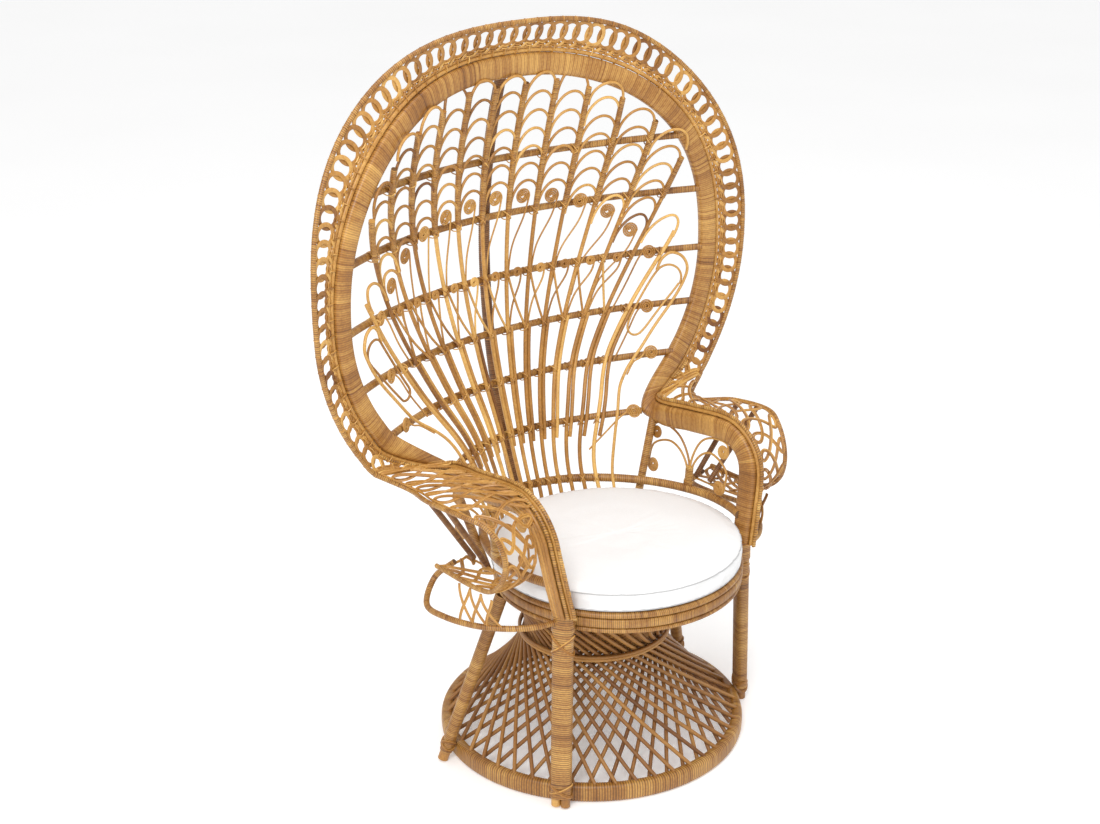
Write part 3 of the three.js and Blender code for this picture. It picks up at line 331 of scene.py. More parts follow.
def add_node(tree, kind, settings=(), **inputs):
    node = tree.nodes.new(kind)
    for label, value in settings:
        setattr(node, label, value)
    for label, value in inputs.items():
        socket = node.inputs[label.replace("_", " ")]
        if isinstance(value, bpy.types.NodeSocket):
            tree.links.new(value, socket)
        else:
            socket.default_value = value
    return node


def own_place(tree):
    return add_node(tree, "ShaderNodeTexCoord").outputs["Object"]


def noise(tree, place_in, scale, detail=2.0):
    return add_node(tree, "ShaderNodeTexNoise", Vector=place_in, Scale=scale, Detail=detail).outputs["Fac"]


def ramp(tree, factor, stops):
    node = add_node(tree, "ShaderNodeValToRGB", Fac=factor)
    elements = node.color_ramp.elements
    while len(elements) < len(stops):
        elements.new(0.5)
    for element, (position, colour) in zip(elements, stops):
        element.position = position
        element.color = (*colour, 1)
    return node.outputs["Color"]


def sum_of(tree, *parts):
    """A weighted sum of values."""
    total = None
    for socket, weight in parts:
        scaled = add_node(tree, "ShaderNodeMath", [("operation", "MULTIPLY")])
        tree.links.new(socket, scaled.inputs[0])
        scaled.inputs[1].default_value = weight
        if total is None:
            total = scaled.outputs[0]
            continue
        added = add_node(tree, "ShaderNodeMath", [("operation", "ADD")])
        tree.links.new(total, added.inputs[0])
        tree.links.new(scaled.outputs[0], added.inputs[1])
        total = added.outputs[0]
    return total


def add_bump(tree, surface, height, strength, distance):
    bump = add_node(tree, "ShaderNodeBump", Height=height, Strength=strength, Distance=distance)
    tree.links.new(bump.outputs["Normal"], surface.inputs["Normal"])


# Dark brown painted shade for the grooves between wound strips
GROOVE_SHADE_COLOUR = (0.04, 0.013, 0.003)


def cane(name, dark, middle, light, roughness):
    """Cane with a tone of its own for each strip, painted shade in the grooves, drifting stains and fine
    fibres.
    """
    material, tree, surface = shader(name, roughness, coat=0.12)
    place_in = own_place(tree)
    tone = add_node(tree, "ShaderNodeAttribute", [("attribute_name", "tone")]).outputs["Fac"]
    groove = add_node(tree, "ShaderNodeAttribute", [("attribute_name", "groove")]).outputs["Fac"]
    stain = noise(tree, place_in, 14.0, 3.0)
    fleck = noise(tree, place_in, 210.0, 4.0)
    fibre = noise(tree, place_in, 900.0)
    shade = sum_of(tree, (tone, 0.62), (stain, 0.3), (fleck, 0.28), (fibre, 0.1))
    colour = ramp(tree, shade, [(0.38, dark), (0.63, middle), (0.88, light)])
    # Painted shade: the colour is mixed toward dark brown where the groove attribute is set
    sunk = add_node(tree, "ShaderNodeMix", [("data_type", "RGBA")])
    tree.links.new(sum_of(tree, (groove, 0.85)), sunk.inputs["Factor"])
    tree.links.new(colour, sunk.inputs["A"])
    sunk.inputs["B"].default_value = (*GROOVE_SHADE_COLOUR, 1)
    tree.links.new(sunk.outputs["Result"], surface.inputs["Base Color"])
    gloss = ramp(tree, fleck, [(0.3, (roughness - 0.08,) * 3), (0.75, (roughness + 0.14,) * 3)])
    tree.links.new(gloss, surface.inputs["Roughness"])
    add_bump(tree, surface, sum_of(tree, (fleck, 0.6), (fibre, 0.4)), 0.25, 0.0006)
    return material


def cotton_cloth(name, low, high):
    material, tree, surface = shader(name, 0.9, sheen=0.25)
    place_in = own_place(tree)
    slub = noise(tree, place_in, 420.0, 3.0)
    shade = sum_of(tree, (noise(tree, place_in, 9.0, 3.0), 0.5), (slub, 0.5))
    colour = ramp(tree, shade, [(0.3, (low,) * 3), (0.7, (high,) * 3)])
    tree.links.new(colour, surface.inputs["Base Color"])
    threads = []
    for direction in ("X", "Y", "Z"):
        settings = [("bands_direction", direction)]
        wave = add_node(tree, "ShaderNodeTexWave", settings, Vector=place_in, Scale=330.0, Distortion=0.6)
        threads.append((wave.outputs["Fac"], 0.28))
    add_bump(tree, surface, sum_of(tree, *threads, (slub, 0.3)), 0.3, 0.0004)
    return material


# Each look pairs a material with the name of a slot
wrapped_cane = cane("wrapped_cane", (0.135, 0.044, 0.006), (0.37, 0.16, 0.03), (0.65, 0.36, 0.092), 0.42)
bare_cane = cane("bare_cane", (0.17, 0.058, 0.008), (0.44, 0.205, 0.038), (0.76, 0.46, 0.13), 0.4)
# A darker, rougher copy of the bare cane, for the pedestal canes and the waist ring
darker_cane = cane("darker_cane", (0.135, 0.046, 0.008), (0.285, 0.117, 0.022), (0.46, 0.226, 0.054), 0.5)
dark_cane = cane("dark_cane", (0.1, 0.038, 0.009), (0.21, 0.085, 0.021), (0.36, 0.17, 0.05), 0.5)
WRAPPED = (wrapped_cane, "wrapped_cane")
BARE = (bare_cane, "bare_cane")
DARK = (dark_cane, "dark_cane")
# A greyer copy of the cotton for the seam welts: painted shade along the seams
SEAM_SHADE = (cotton_cloth("cotton_seam_shade", 0.4, 0.5), "cotton")
cotton = cotton_cloth("cotton", 0.77, 0.83)


def wound_cane(node, path, radius, pitch, looks=WRAPPED, sides=10):
    """One wound cane that takes the place of a node."""
    weave = Weave()
    weave.wound(path, radius, pitch, sides)
    weave.dress(node, "wrapped", looks)


# Base hoop, pedestal and waist
def wound_circle(weave, radius, depth, height, half_sizes, pitch, sides, power, sink, lean):
    turn = full_turn(int(round(2 * math.pi * radius / pitch)) * 3)
    level = np.zeros(len(turn))
    out = np.stack([np.cos(turn), np.sin(turn), level], axis=1)
    along = np.stack([-np.sin(turn), np.cos(turn), level], axis=1)
    path = out * radius + vec(0, depth, height)
    weave.wrap(path, out, np.cross(along, out), *half_sizes, sides, power, sink, lean, True)


base = Weave()
base_sizes = (BASE_HALF_THICKNESS, BASE_HALF_HEIGHT)
wound_circle(base, BASE_RADIUS, 0, BASE_HALF_HEIGHT, base_sizes, 5.2, 18, 3.2, 0.6, 0.5)
base.dress("base_hoop", "wrapped", WRAPPED)

CANES_PER_FAMILY = 46
CANE_FOOT = 30
CANE_TOP = 373
TURN_TO_WAIST = 59
TURN_TO_TOP = 46
PEDESTAL_CANE_RADIUS = 4.1
WAIST_CANE_RADIUS = 3.6


def pedestal_cane(weave, lean, index, foot_radius, waist_radius, top_radius):
    """A cane from the base hoop past the waist to the seat, leaning round the axis one way or the other."""
    top_angle = 360 * index / CANES_PER_FAMILY
    waist_angle = top_angle - lean * TURN_TO_TOP
    foot_angle = waist_angle - lean * TURN_TO_WAIST
    foot = on_circle(foot_radius, foot_angle, 0, CANE_FOOT)
    waist = on_circle(waist_radius, waist_angle, WAIST_DEPTH, WAIST_HEIGHT)
    bow_radius = mix(foot_radius, waist_radius, 0.58)
    bow_height = mix(CANE_FOOT, WAIST_HEIGHT, 0.5)
    bow = on_circle(bow_radius, mix(foot_angle, waist_angle, 0.5), WAIST_DEPTH / 2, bow_height)
    top = on_circle(top_radius, top_angle, SEAT_DEPTH, CANE_TOP)
    weave.bare(curve([foot, mix(bow, mix(foot, waist, 0.5), 0.85), waist, top], 14), PEDESTAL_CANE_RADIUS, 7)


families = (("outer", -1, 0, (307, 142.25, 226.5)), ("inner", 1, 0.5, (292, 131.75, 211.5)))
for family, lean, first, radii in families:
    canes = Weave()
    for index in range(CANES_PER_FAMILY):
        pedestal_cane(canes, lean, first + index, *radii)
    canes.piece("pedestal_canes_" + family, (darker_cane, "bare_cane"), ["pedestal_rods_" + family])

waist = Weave()
waist_count = int(round(2 * math.pi * WAIST_RADIUS / 9))
for lift in (-3, 3):
    middle = vec(0, WAIST_DEPTH, WAIST_HEIGHT + lift)
    ring = loop(middle, vec(WAIST_RADIUS, 0, 0), vec(0, WAIST_RADIUS, 0), waist_count)
    waist.bare(ring, WAIST_CANE_RADIUS, 9, True)
waist.dress("waist_ring", "canes", (darker_cane, "wrapped_cane"))

seat_rings = (
    ("lower", 369.7, (6.4, 5.2), 2),
    ("middle", 385.6, (8.0, 9.4), 4),
    ("upper", UPPER_RING_HEIGHT, (8.6, 6.4), 2),
)
for name, height, half_sizes, power in seat_rings:
    ring = Weave()
    wound_circle(ring, SEAT_RADIUS, SEAT_DEPTH, height, half_sizes, 3.6, 12, power, 0.5, 0.72)
    ring.dress("seat_ring_" + name, "wrapped", WRAPPED)

# Seat: two bearers and a coil of cane laid round and round
BEARER_SHIFT = 90
BEARER_HEIGHT = 386.8
BEARER_RADIUS = 10.6
BEARER_REACH = 232
bearer_half = math.sqrt(BEARER_REACH**2 - BEARER_SHIFT**2)
for name, depth in (("front", SEAT_DEPTH - BEARER_SHIFT), ("rear", SEAT_DEPTH + BEARER_SHIFT)):
    end = vec(bearer_half, depth, BEARER_HEIGHT)
    wound_cane("seat_bearer_" + name, np.array([mirrored(end), end]), BEARER_RADIUS, 4, DARK)
COIL_HEIGHT = 403.2
SPOKE_HEIGHT = 399.8
deck = Weave()
coil_turn = np.arange(0, 19 * 2 * math.pi, 0.12)
coil_radius = 224.5 - 11.7 * coil_turn / (2 * math.pi)
coil = np.full((len(coil_turn), 3), COIL_HEIGHT)
coil[:, 0] = coil_radius * np.cos(coil_turn)
coil[:, 1] = SEAT_DEPTH + coil_radius * np.sin(coil_turn)
coil = coil[coil_radius > 6]
deck.bare(even(coil, 12), 5.9, 8, first=UP)
for spoke in range(12):
    reach = on_circle(228, spoke * 30, SEAT_DEPTH, SPOKE_HEIGHT)
    deck.bare(np.array([mix(vec(0, SEAT_DEPTH, SPOKE_HEIGHT), reach, 0.06), reach]), 2.4, 6)
deck.dress("seat_deck", "coiled", DARK)

# Legs
FRONT_FOOT_ANGLE = -32
FRONT_FOOT_SKEW = 6.2
FRONT_TOP_ANGLE = -25
FRONT_LEG_SIZES = (20.5, 13.6)
COLLAR_SIZES = (22.4, 15.4)
REAR_LEG_RADIUS = 13.2
BASE_TOP = BASE_HALF_HEIGHT * 2
ring_touch = on_circle(264.3, FRONT_TOP_ANGLE, SEAT_DEPTH, UPPER_RING_HEIGHT)


def front_leg_line(foot_angle):
    """The floor and the top of a straight leg that touches the base hoop and the upper seat ring."""
    hoop_touch = on_circle(329.6, foot_angle, 0, BASE_TOP)
    slope = (ring_touch - hoop_touch) / (ring_touch[2] - hoop_touch[2])
    return hoop_touch - slope * hoop_touch[2], hoop_touch + slope * (LEG_TOP - hoop_touch[2])


def leg_lashing(weave, at, along, wide, deep, half_wide, half_deep, height):
    """Two crossed lashings over a leg."""
    for way in (-1, 1):
        first = wide * (half_wide + 1.5) + along * (way * height)
        weave.bare(loop(at, first, deep * (half_deep + 1.6), 24), 1.5, 5, True)
        weave.bare(loop(at + along * 3.2, first, deep * (half_deep + 1.4), 24), 1.5, 5, True)


front_head = front_leg_line(FRONT_FOOT_ANGLE)[1]
rear_head = on_circle(SEAT_RADIUS, 22.5, SEAT_DEPTH, 361.6)
rear_touch = on_circle(329.1, 13, 0, BASE_TOP)
rear_slope = (rear_head - rear_touch) / (rear_head[2] - rear_touch[2])
rear_foot = rear_touch - rear_slope * rear_touch[2]
for side, way in SIDES:
    leg = Weave()
    foot_angle = FRONT_FOOT_ANGLE + way * FRONT_FOOT_SKEW
    foot, head = mirrored(front_leg_line(foot_angle)[0], way), mirrored(front_head, way)
    path = even(np.array([mix(foot, head, 0.055), head]), 4.4 / 3)
    along = unit(head - foot)
    turned = np.radians(mix(foot_angle, FRONT_TOP_ANGLE, np.linspace(0, 1, len(path))))
    wides = mirrored(np.stack([np.sin(turned), -np.cos(turned), np.zeros(len(path))], axis=1), way)
    wides = unit(wides - along * (wides @ along)[:, None])
    deeps = np.cross(along, wides)
    leg.wrap(path, wides, deeps, *FRONT_LEG_SIZES, 18, 2.8, 0.6, 0.8)
    collar = even(np.array([mix(foot, head, 0.9), mix(foot, head, 0.99)]), 4.4 / 3)
    top_wide, top_deep = (np.tile(rows[-1], (len(collar), 1)) for rows in (wides, deeps))
    leg.wrap(collar, top_wide, top_deep, *COLLAR_SIZES, 18, 2.8, 0.6, 0.8)
    wide, deep = wides[len(path) // 2], deeps[len(path) // 2]
    for share, height in ((0.83, 18), (0.09, 12)):
        leg_lashing(leg, mix(foot, head, share), along, wide, deep, *FRONT_LEG_SIZES, height)
    for shift in (-10, 9):
        start = foot + wide * shift + along * 4
        leg.bare(np.array([start, start + along * 40]), 9.4, 12)
    leg.dress("front_leg_" + side, "wrapped", WRAPPED)
    leg = Weave()
    foot, head = mirrored(rear_foot, way), mirrored(rear_head, way)
    along = unit(head - foot)
    leg.wound(np.array([mix(foot, head, 0.06), head]), REAR_LEG_RADIUS, 3.6, 14)
    leg.bare(np.array([foot + along * 3.5, mix(foot, head, 0.09)]), 11, 12)
    wide = unit(np.cross(along, UP))
    at = mix(foot, head, 0.1)
    leg_lashing(leg, at, along, wide, np.cross(along, wide), REAR_LEG_RADIUS, REAR_LEG_RADIUS, 10)
    leg.dress("rear_leg_" + side, "wrapped", WRAPPED)


# Hoop, neck and arms as one run of stations: inner edge, outer edge and the way that the lace runs
def hoop_station(angle):
    """The hoop is fuller at its shoulders than an ellipse. The third part is as long as the lace is wide."""
    sine, cosine = math.sin(angle), math.cos(angle)
    rising = max(cosine, 0)
    power = HOOP_ROUNDNESS if cosine > 0 else 1
    inner = vec(
        HOOP_HALF_WIDTH * signed_power(sine, power),
        HOOP_SIDE_DEPTH + HOOP_TOP_LEAN * rising**HOOP_LEAN_POWER,
        HOOP_CENTRE + HOOP_HALF_HEIGHT * signed_power(cosine, power),
    )
    flat_x = signed_power(sine, 2 - power) / HOOP_HALF_WIDTH
    flat_z = signed_power(cosine, 2 - power) / HOOP_HALF_HEIGHT
    flat = unit(vec(flat_x, 0, flat_z))

    def outward(degrees):
        tilt = math.radians(degrees)
        return flat * math.cos(tilt) - vec(0, math.sin(tilt), 0)

    band_tilt = mix(9.7, 1, rising**2)
    band_width = mix(39, 45, rising**2)
    shoulder = (1 - math.cos(4 * min(angle, math.pi / 2))) / 2
    lace_tilt = mix(28, -3, shoulder)
    lower = np.clip((angle - math.pi / 4) / (HOOP_END - math.pi / 4), 0, 1)
    lace = mix(1, LACE_END_SHARE, lower * lower * (3 - 2 * lower))
    return np.concatenate([inner, inner + outward(band_tilt) * band_width, outward(lace_tilt) * lace])


def neck_station():
    outward = vec(math.cos(NECK_TILT), 0, math.sin(NECK_TILT))
    return np.concatenate([NECK, vec(*NECK) + outward * NECK_WIDTH, outward])


def arm_half_width(height):
    share = np.clip((height - LEG_TOP) / (ARM_TOP - LEG_TOP), 0, 1)
    return mix(front_head[0], ARM_HALF_WIDTH, np.sin(share * math.pi / 2))


def arm_stations():
    """From behind the neck forward, round the bend and down to the leg, as (y, z) and the way outward."""
    start, corner, foot = vec(88, 596), vec(-170, ARM_TOP), vec(front_head[1], 405)
    back, down = unit(start - corner), unit(foot - corner)
    half = math.acos(back @ down) / 2
    centre = corner + unit(back + down) * ARM_BEND / math.sin(half)
    cut = ARM_BEND / math.tan(half)
    begin, end = corner + back * cut, corner + down * cut
    sweep = math.pi - 2 * half
    turned = [math.atan2(*(begin - centre)[::-1]) + sweep * i / 6 for i in range(7)]
    ways = [vec(math.cos(t), math.sin(t)) for t in turned]
    over = vec(-back[1], back[0])
    before = vec(down[1], -down[0])
    rows = [(start, over), (mix(start, begin, 0.5), over), *((centre + ARM_BEND * way, way) for way in ways)]
    rows += [(mix(end, foot, 0.5), before), (foot, vec(-1, 0))]
    stations = []
    for (y, z), (out_y, out_z) in rows:
        middle = vec(arm_half_width(z), y, z)
        outward = vec(0, out_y, out_z)
        half_over = outward * mix(40, 45, min((z - LEG_TOP) / 100, 1)) / 2
        stations.append(np.concatenate([middle - half_over, middle + half_over, outward]))
    return stations


def middles(lines):
    """The points halfway between the two edges in each row."""
    return (lines[:, :3] + lines[:, 3:6]) / 2


half_run = [hoop_station(HOOP_END * i / HOOP_STEPS) for i in range(HOOP_STEPS + 1)]
half_run = np.array([*half_run, neck_station(), *arm_stations()])
whole_run = np.vstack([half_run[:0:-1] * np.tile(vec(-1, 1, 1), 3), half_run])
run = dense(whole_run, middles(whole_run))
TOP = (len(half_run) - 1) * POINTS_PER_STATION
HOOP_LAST = TOP + HOOP_STEPS * POINTS_PER_STATION
NECK_AT = HOOP_LAST + POINTS_PER_STATION
hoop_rows = run[2 * TOP - NECK_AT : NECK_AT + 1]


def beside(rows, reach):
    """A line beside the band's outer edge."""
    return rows[:, 3:6] + unit(rows[:, 6:9]) * reach


def past_lace(rows, reach):
    """A line beyond the outer edge of the lace."""
    return beside(rows, LACE_START + reach) + rows[:, 6:9] * LACE_WIDTH


def sleeve(weave, rows):
    """The band: strips wound round a flat frame."""
    rows = even(rows, BAND_PITCH / 3, middles(rows))
    middle = middles(rows)
    edges = rows[:, 3:6] - rows[:, :3]
    across = unit(edges)
    through = unit(np.cross(unit(np.gradient(middle, axis=0)), across))
    half = np.linalg.norm(edges, axis=1) / 2
    # groove=0.5: lighter painted shade in the band's grooves
    weave.wrap(middle, across, through, half, BAND_THICKNESS / 2, 20, 3.2, 0.35, 0.9, groove=0.5)


hoop = Weave()
sleeve(hoop, hoop_rows)
hoop.piece("hoop_band_wrapped", WRAPPED, ["back_hoop"])
for side, way in SIDES:
    arm = Weave()
    sleeve(arm, run[NECK_AT:] * np.tile(vec(way, 1, 1), 3))
    arm.piece("arm_band_" + side + "_wrapped", WRAPPED, ["arm_frame_" + side])

# Trim: a bright cane against the band, a thinner one at the feet of the lace, and rods outside the arms
trim = Weave()
trim.bare(even(beside(run, TRIM_REACH), 6), 4.5, 9)
trim.bare(even(beside(hoop_rows, TRIM_REACH + 8), 6), 2.4, 7)
arm_run = run[HOOP_LAST:]
for way in (-1, 1):
    trim.wound(mirrored(beside(arm_run, TRIM_REACH + 8.2), way), 3.9, 5, 9)
    trim.wound(mirrored(beside(arm_run, TRIM_REACH - 1) + vec(9, 0, 0), way), 3.9, 5, 9)
    for reach in (-2, -10, -18, -26):
        trim.bare(mirrored(even(beside(arm_run, reach) + vec(16, 0, 0), 6), way), 4.1, 9)
for row in even(run, 30, beside(run, TRIM_REACH))[1:-1]:
    outward = unit(row[6:9])
    middle = row[3:6] + outward * (TRIM_REACH + 4)
    frontward = unit(np.cross(outward, np.cross(vec(0, -1, 0.2), outward)))
    trim.bare(loop(middle, outward * 9.2, frontward * 5.4, 14), 1.2, 5, True)
trim.piece("trim_canes", BARE, ["frame_trim"])

# Lace of overlapping rings of flat split cane, with two strips braided along its feet
RING_PITCH = 30
BRAID_STEP = 3
lace_rows = run[2 * TOP - HOOP_LAST : HOOP_LAST + 1]
lace_lines = np.hstack([beside(lace_rows, LACE_START), past_lace(lace_rows, 0)])
lace_lines = even(lace_lines, RING_PITCH, middles(lace_lines))
lace_middle = mix(lace_lines[:, :3], lace_lines[:, 3:], 0.61)
lace_along = unit(np.gradient(lace_middle, axis=0))
border = Weave()
ring_turn = full_turn(44)[:, None]
for middle, along, line in zip(lace_middle, lace_along, lace_lines):
    over = line[3:] - line[:3]
    radial = unit(over)
    normal = unit(np.cross(along, radial))
    along = np.cross(radial, normal)
    out = np.cos(ring_turn) * along * 18.8 + np.sin(ring_turn) * over * 0.385
    path = middle + out + normal * 1.5 * np.cos(ring_turn)
    ahead = unit(np.roll(path, -1, 0) - np.roll(path, 1, 0))
    across = unit(np.cross(normal, ahead))
    border.strip(path, across, np.cross(ahead, across), 4.2, 1.1, True)
    for share in (0.14, 0.23):
        border.bare(loop(mix(line[:3], line[3:], share), along * 7, normal * 3.4, 14), 1.3, 5, True)
braid_rows = even(lace_rows, BRAID_STEP, beside(lace_rows, LACE_START))
for phase in (0, 0.5):
    swing = 2 * math.pi * (np.arange(len(braid_rows)) * BRAID_STEP / RING_PITCH + phase)[:, None]
    path = beside(braid_rows, LACE_START) + braid_rows[:, 6:9] * (7.5 + 4.6 * np.sin(swing))
    ahead = unit(np.gradient(path, axis=0))
    normals = unit(np.cross(ahead, unit(braid_rows[:, 6:9])))
    border.strip(path + normals * 1.4 * np.cos(swing), np.cross(normals, ahead), normals, 3.2, 1.0)
border.piece("lace_rings", BARE, ["lace_border"])

rim = Weave()
rim.wound(past_lace(lace_rows, RIM_PAST - 1.5), 5, 4)
for along, line in zip(lace_along, lace_lines):
    radial = unit(line[3:] - line[:3])
    middle = line[3:] + radial * (RIM_PAST - 2)
    rim.bare(loop(middle, radial * 5.1, unit(np.cross(along, radial)) * 5.1, 12), 1, 5, True)
rim.dress("hoop_rim", "wrapped", WRAPPED)

# Rolled arms
ROLL_DEPTH = -104
ROLL_HEIGHT = 545
ROLL_RADIUS = 78
ROLL_INNER = 294
ROLL_OUTER = 368
ROLL_WIDEST = 402
ROLL_TAIL = 28
ROLL_BOTTOM = ROLL_HEIGHT - ROLL_RADIUS
SHEET_STEP = 4
SHEET_BULGE = 28
NARROW_MESH = 62
WIDE_MESH = 90
MESH_WIDENS_OVER = 220


def roll_point(angle):
    forward = 1 if angle > math.pi else max(-math.cos(angle), 0)
    depth = ROLL_DEPTH + ROLL_RADIUS * math.cos(angle)
    return vec(mix(ROLL_WIDEST, ROLL_OUTER, forward), depth, ROLL_HEIGHT + ROLL_RADIUS * math.sin(angle))


rim_start = past_lace(run[HOOP_LAST : HOOP_LAST + 1], RIM_PAST)[0]
rim_line = [rim_start, vec(375, 98, 603), vec(ROLL_WIDEST, 0, 618)]
rim_line += [roll_point(math.pi * (3 + i) / 6) for i in range(7)]
rim_line += [vec(ROLL_OUTER, ROLL_TAIL, ROLL_BOTTOM)]
rim_curve = curve(rim_line, 3)
lace_low = list(beside(half_run[HOOP_STEPS + 2 : -5], TRIM_REACH))
for i in range(6):
    free = roll_point(math.pi * mix(0.8, 1.5, i / 5))
    lace_low.append(vec(ROLL_INNER, free[1], free[2]))
lace_low.append(vec(ROLL_INNER, ROLL_TAIL, ROLL_BOTTOM))
lace_high = rim_curve[np.linspace(0, len(rim_curve) - 1, len(lace_low)).round().astype(int)]
sheet_lines = np.hstack([np.array(lace_low), lace_high])
sheet_lines = dense(sheet_lines, middles(sheet_lines))
sheet_lines = even(sheet_lines, SHEET_STEP, middles(sheet_lines))
sheet_along = np.arange(len(sheet_lines)) * float(SHEET_STEP)
sheet_ahead = unit(np.gradient(middles(sheet_lines), axis=0))
sheet_lift = unit(np.cross(sheet_ahead, unit(sheet_lines[:, 3:] - sheet_lines[:, :3])))
sheet_lift = np.where(sheet_lift[:1, 2:] < 0, -sheet_lift, sheet_lift)
neck_feet = beside(run[HOOP_LAST : NECK_AT + POINTS_PER_STATION + 1], TRIM_REACH + 8)


def on_sheet(u, v):
    """A point of the arm's lace, u millimetres along it and a share v across it, and the way out of it."""
    rows = sample(u, sheet_along, sheet_lines)
    lift = unit(sample(u, sheet_along, sheet_lift))
    point = mix(rows[:, :3], rows[:, 3:], v[:, None])
    return point + lift * (SHEET_BULGE * v * (1 - v))[:, None], lift


def pair(weave, path, lift, gap, radius, way):
    """Two canes side by side along one line, on the side that way says."""
    path, lift = mirrored(path, way), mirrored(lift, way)
    aside = unit(np.cross(lift, unit(np.gradient(path, axis=0))))
    for shift in (-gap / 2, gap / 2):
        weave.bare(path + aside * shift, radius, 6)


def between(turn, low, margin, sway):
    """Places along a line of points for canes that wander to and fro."""
    share = np.linspace(margin, 1 - margin, len(turn)) - sway * np.sin(2 * turn)
    return np.clip(share, 0, 1) * (len(low) - 1)


def neck_lace(weave, way):
    """Two wandering canes that fill the corner between the end of the back's lace and the arm's."""
    facing = unit(np.cross(neck_feet[-1] - neck_feet[0], rim_start - neck_feet[0]))
    for phase in (0, math.pi):
        turn = np.linspace(0, 6 * math.pi, 170) + phase
        feet = sample(between(turn, neck_feet, 0.04, 0.07), np.arange(len(neck_feet)), neck_feet)
        path = mix(feet, rim_start, (0.46 + 0.42 * np.cos(turn))[:, None])
        path = path + facing * (1.6 * np.sin(turn * 2))[:, None]
        pair(weave, path, facing, 3.7, 1.85, way)


def arm_lace(way):
    weave = Weave()
    neck_lace(weave, way)
    length = sheet_along[-1]
    grid = np.arange(0, length, 2.0)
    period = mix(NARROW_MESH, WIDE_MESH, np.clip(grid / MESH_WIDENS_OVER, 0, 1))
    waves = np.cumsum(2 / period)
    for phase in (0, 0.5):
        turn = np.arange(0, (waves[-1] + 1) * 2 * math.pi, 0.09)
        wave = turn / (2 * math.pi) + phase - 0.5
        u = np.interp(wave, waves, grid)
        u = u - 0.24 * np.interp(u, grid, period) * np.sin(2 * turn)
        v = 0.5 + 0.43 * np.cos(turn)
        inside = (u > 2) & (u < length - 2) & (wave > 0) & (wave < waves[-1])
        changes = np.diff(np.concatenate([[0], inside, [0]]))
        for start, end in zip(np.flatnonzero(changes == 1), np.flatnonzero(changes == -1)):
            if end - start >= 12:
                path, lift = on_sheet(u[start:end], v[start:end])
                path = path + lift * (1.6 * np.sin(turn[start:end] * 2 + phase * 6))[:, None]
                pair(weave, path, lift, 3.9, 1.95, way)
    for v in (0.045, 0.94):
        path, _ = on_sheet(np.linspace(2, length - 2, 120), np.full(120, v))
        weave.bare(mirrored(path, way), 2.2, 6)
    for u in (3, length - 3):
        path, _ = on_sheet(np.full(30, u), np.linspace(0.04, 0.95, 30))
        weave.bare(mirrored(path, way), 2.6, 6)
    return weave


def hang(weave, way):
    """Two wandering canes between the lower loop and the bottom of the roll."""
    low = loop_curve[len(loop_curve) * 27 // 100 : len(loop_curve) * 47 // 100]
    high = np.linspace(vec(366, -140, ROLL_BOTTOM - 8), vec(366, -40, ROLL_BOTTOM - 8), len(low))
    for phase in (0, math.pi):
        turn = np.linspace(0, 3 * math.pi, 150) + phase
        at = between(turn, low, 0.02, 0.05)
        ends = sample(at, np.arange(len(low)), np.hstack([low, high]))
        across = (0.5 + 0.46 * np.cos(turn))[:, None]
        path = mix(ends[:, :3], ends[:, 3:], across) + vec(5, 0, 0) * (4 * across * (1 - across))
        pair(weave, path, vec(1, 0, 0), 3.3, 1.7, way)


def nearest(line, depth):
    return line[np.argmin(np.abs(line[: len(line) // 2, 1] - depth))]


LOOP_HEIGHT = 392
LOOP_REACH = 158
loop_start = mix(front_head, front_leg_line(FRONT_FOOT_ANGLE)[0], 1 - LOOP_HEIGHT / LEG_TOP)
loop_side = front_head[0] + LOOP_REACH
loop_curve = curve(
    [
        loop_start,
        vec(mix(loop_start[0], loop_side, 0.4), loop_start[1] + LOOP_REACH * 0.1, LOOP_HEIGHT),
        vec(mix(loop_start[0], loop_side, 0.8), loop_start[1] + LOOP_REACH * 0.47, LOOP_HEIGHT),
        vec(loop_side, loop_start[1] + LOOP_REACH, LOOP_HEIGHT),
        vec(loop_side - 6, loop_start[1] + LOOP_REACH * 1.4, LOOP_HEIGHT),
        vec(mix(loop_start[0], loop_side, 0.68), ROLL_TAIL + 36, mix(LOOP_HEIGHT, ROLL_BOTTOM, 0.4)),
        vec(mix(ROLL_INNER, ROLL_OUTER, 0.5), ROLL_TAIL - 9, ROLL_BOTTOM),
    ],
    3,
)
LOOP_RADIUS = 6
ARM_RIM_RADIUS = 4.8
STRUT_RADIUS = 5.8
STRUT_DEPTHS = ((4, -14), (-36, -68))
for side, way in SIDES:
    arm_lace(way).dress("arm_lace_" + side, "woven", BARE)
    wound_cane("arm_rim_" + side, mirrored(rim_curve, way), ARM_RIM_RADIUS, 4)
    lower = Weave()
    lower.wound(mirrored(loop_curve, way), LOOP_RADIUS, 4)
    hang(lower, way)
    lower.dress("arm_loop_" + side, "wrapped", WRAPPED)
    for i, (foot_depth, head_depth) in enumerate(STRUT_DEPTHS):
        foot = vec(ROLL_INNER + 3, foot_depth, ROLL_BOTTOM + 3)
        line = mirrored([foot, nearest(rim_curve, head_depth)], way)
        wound_cane("arm_strut_" + side + "_" + str(i + 1), line, STRUT_RADIUS, 3.6, DARK)

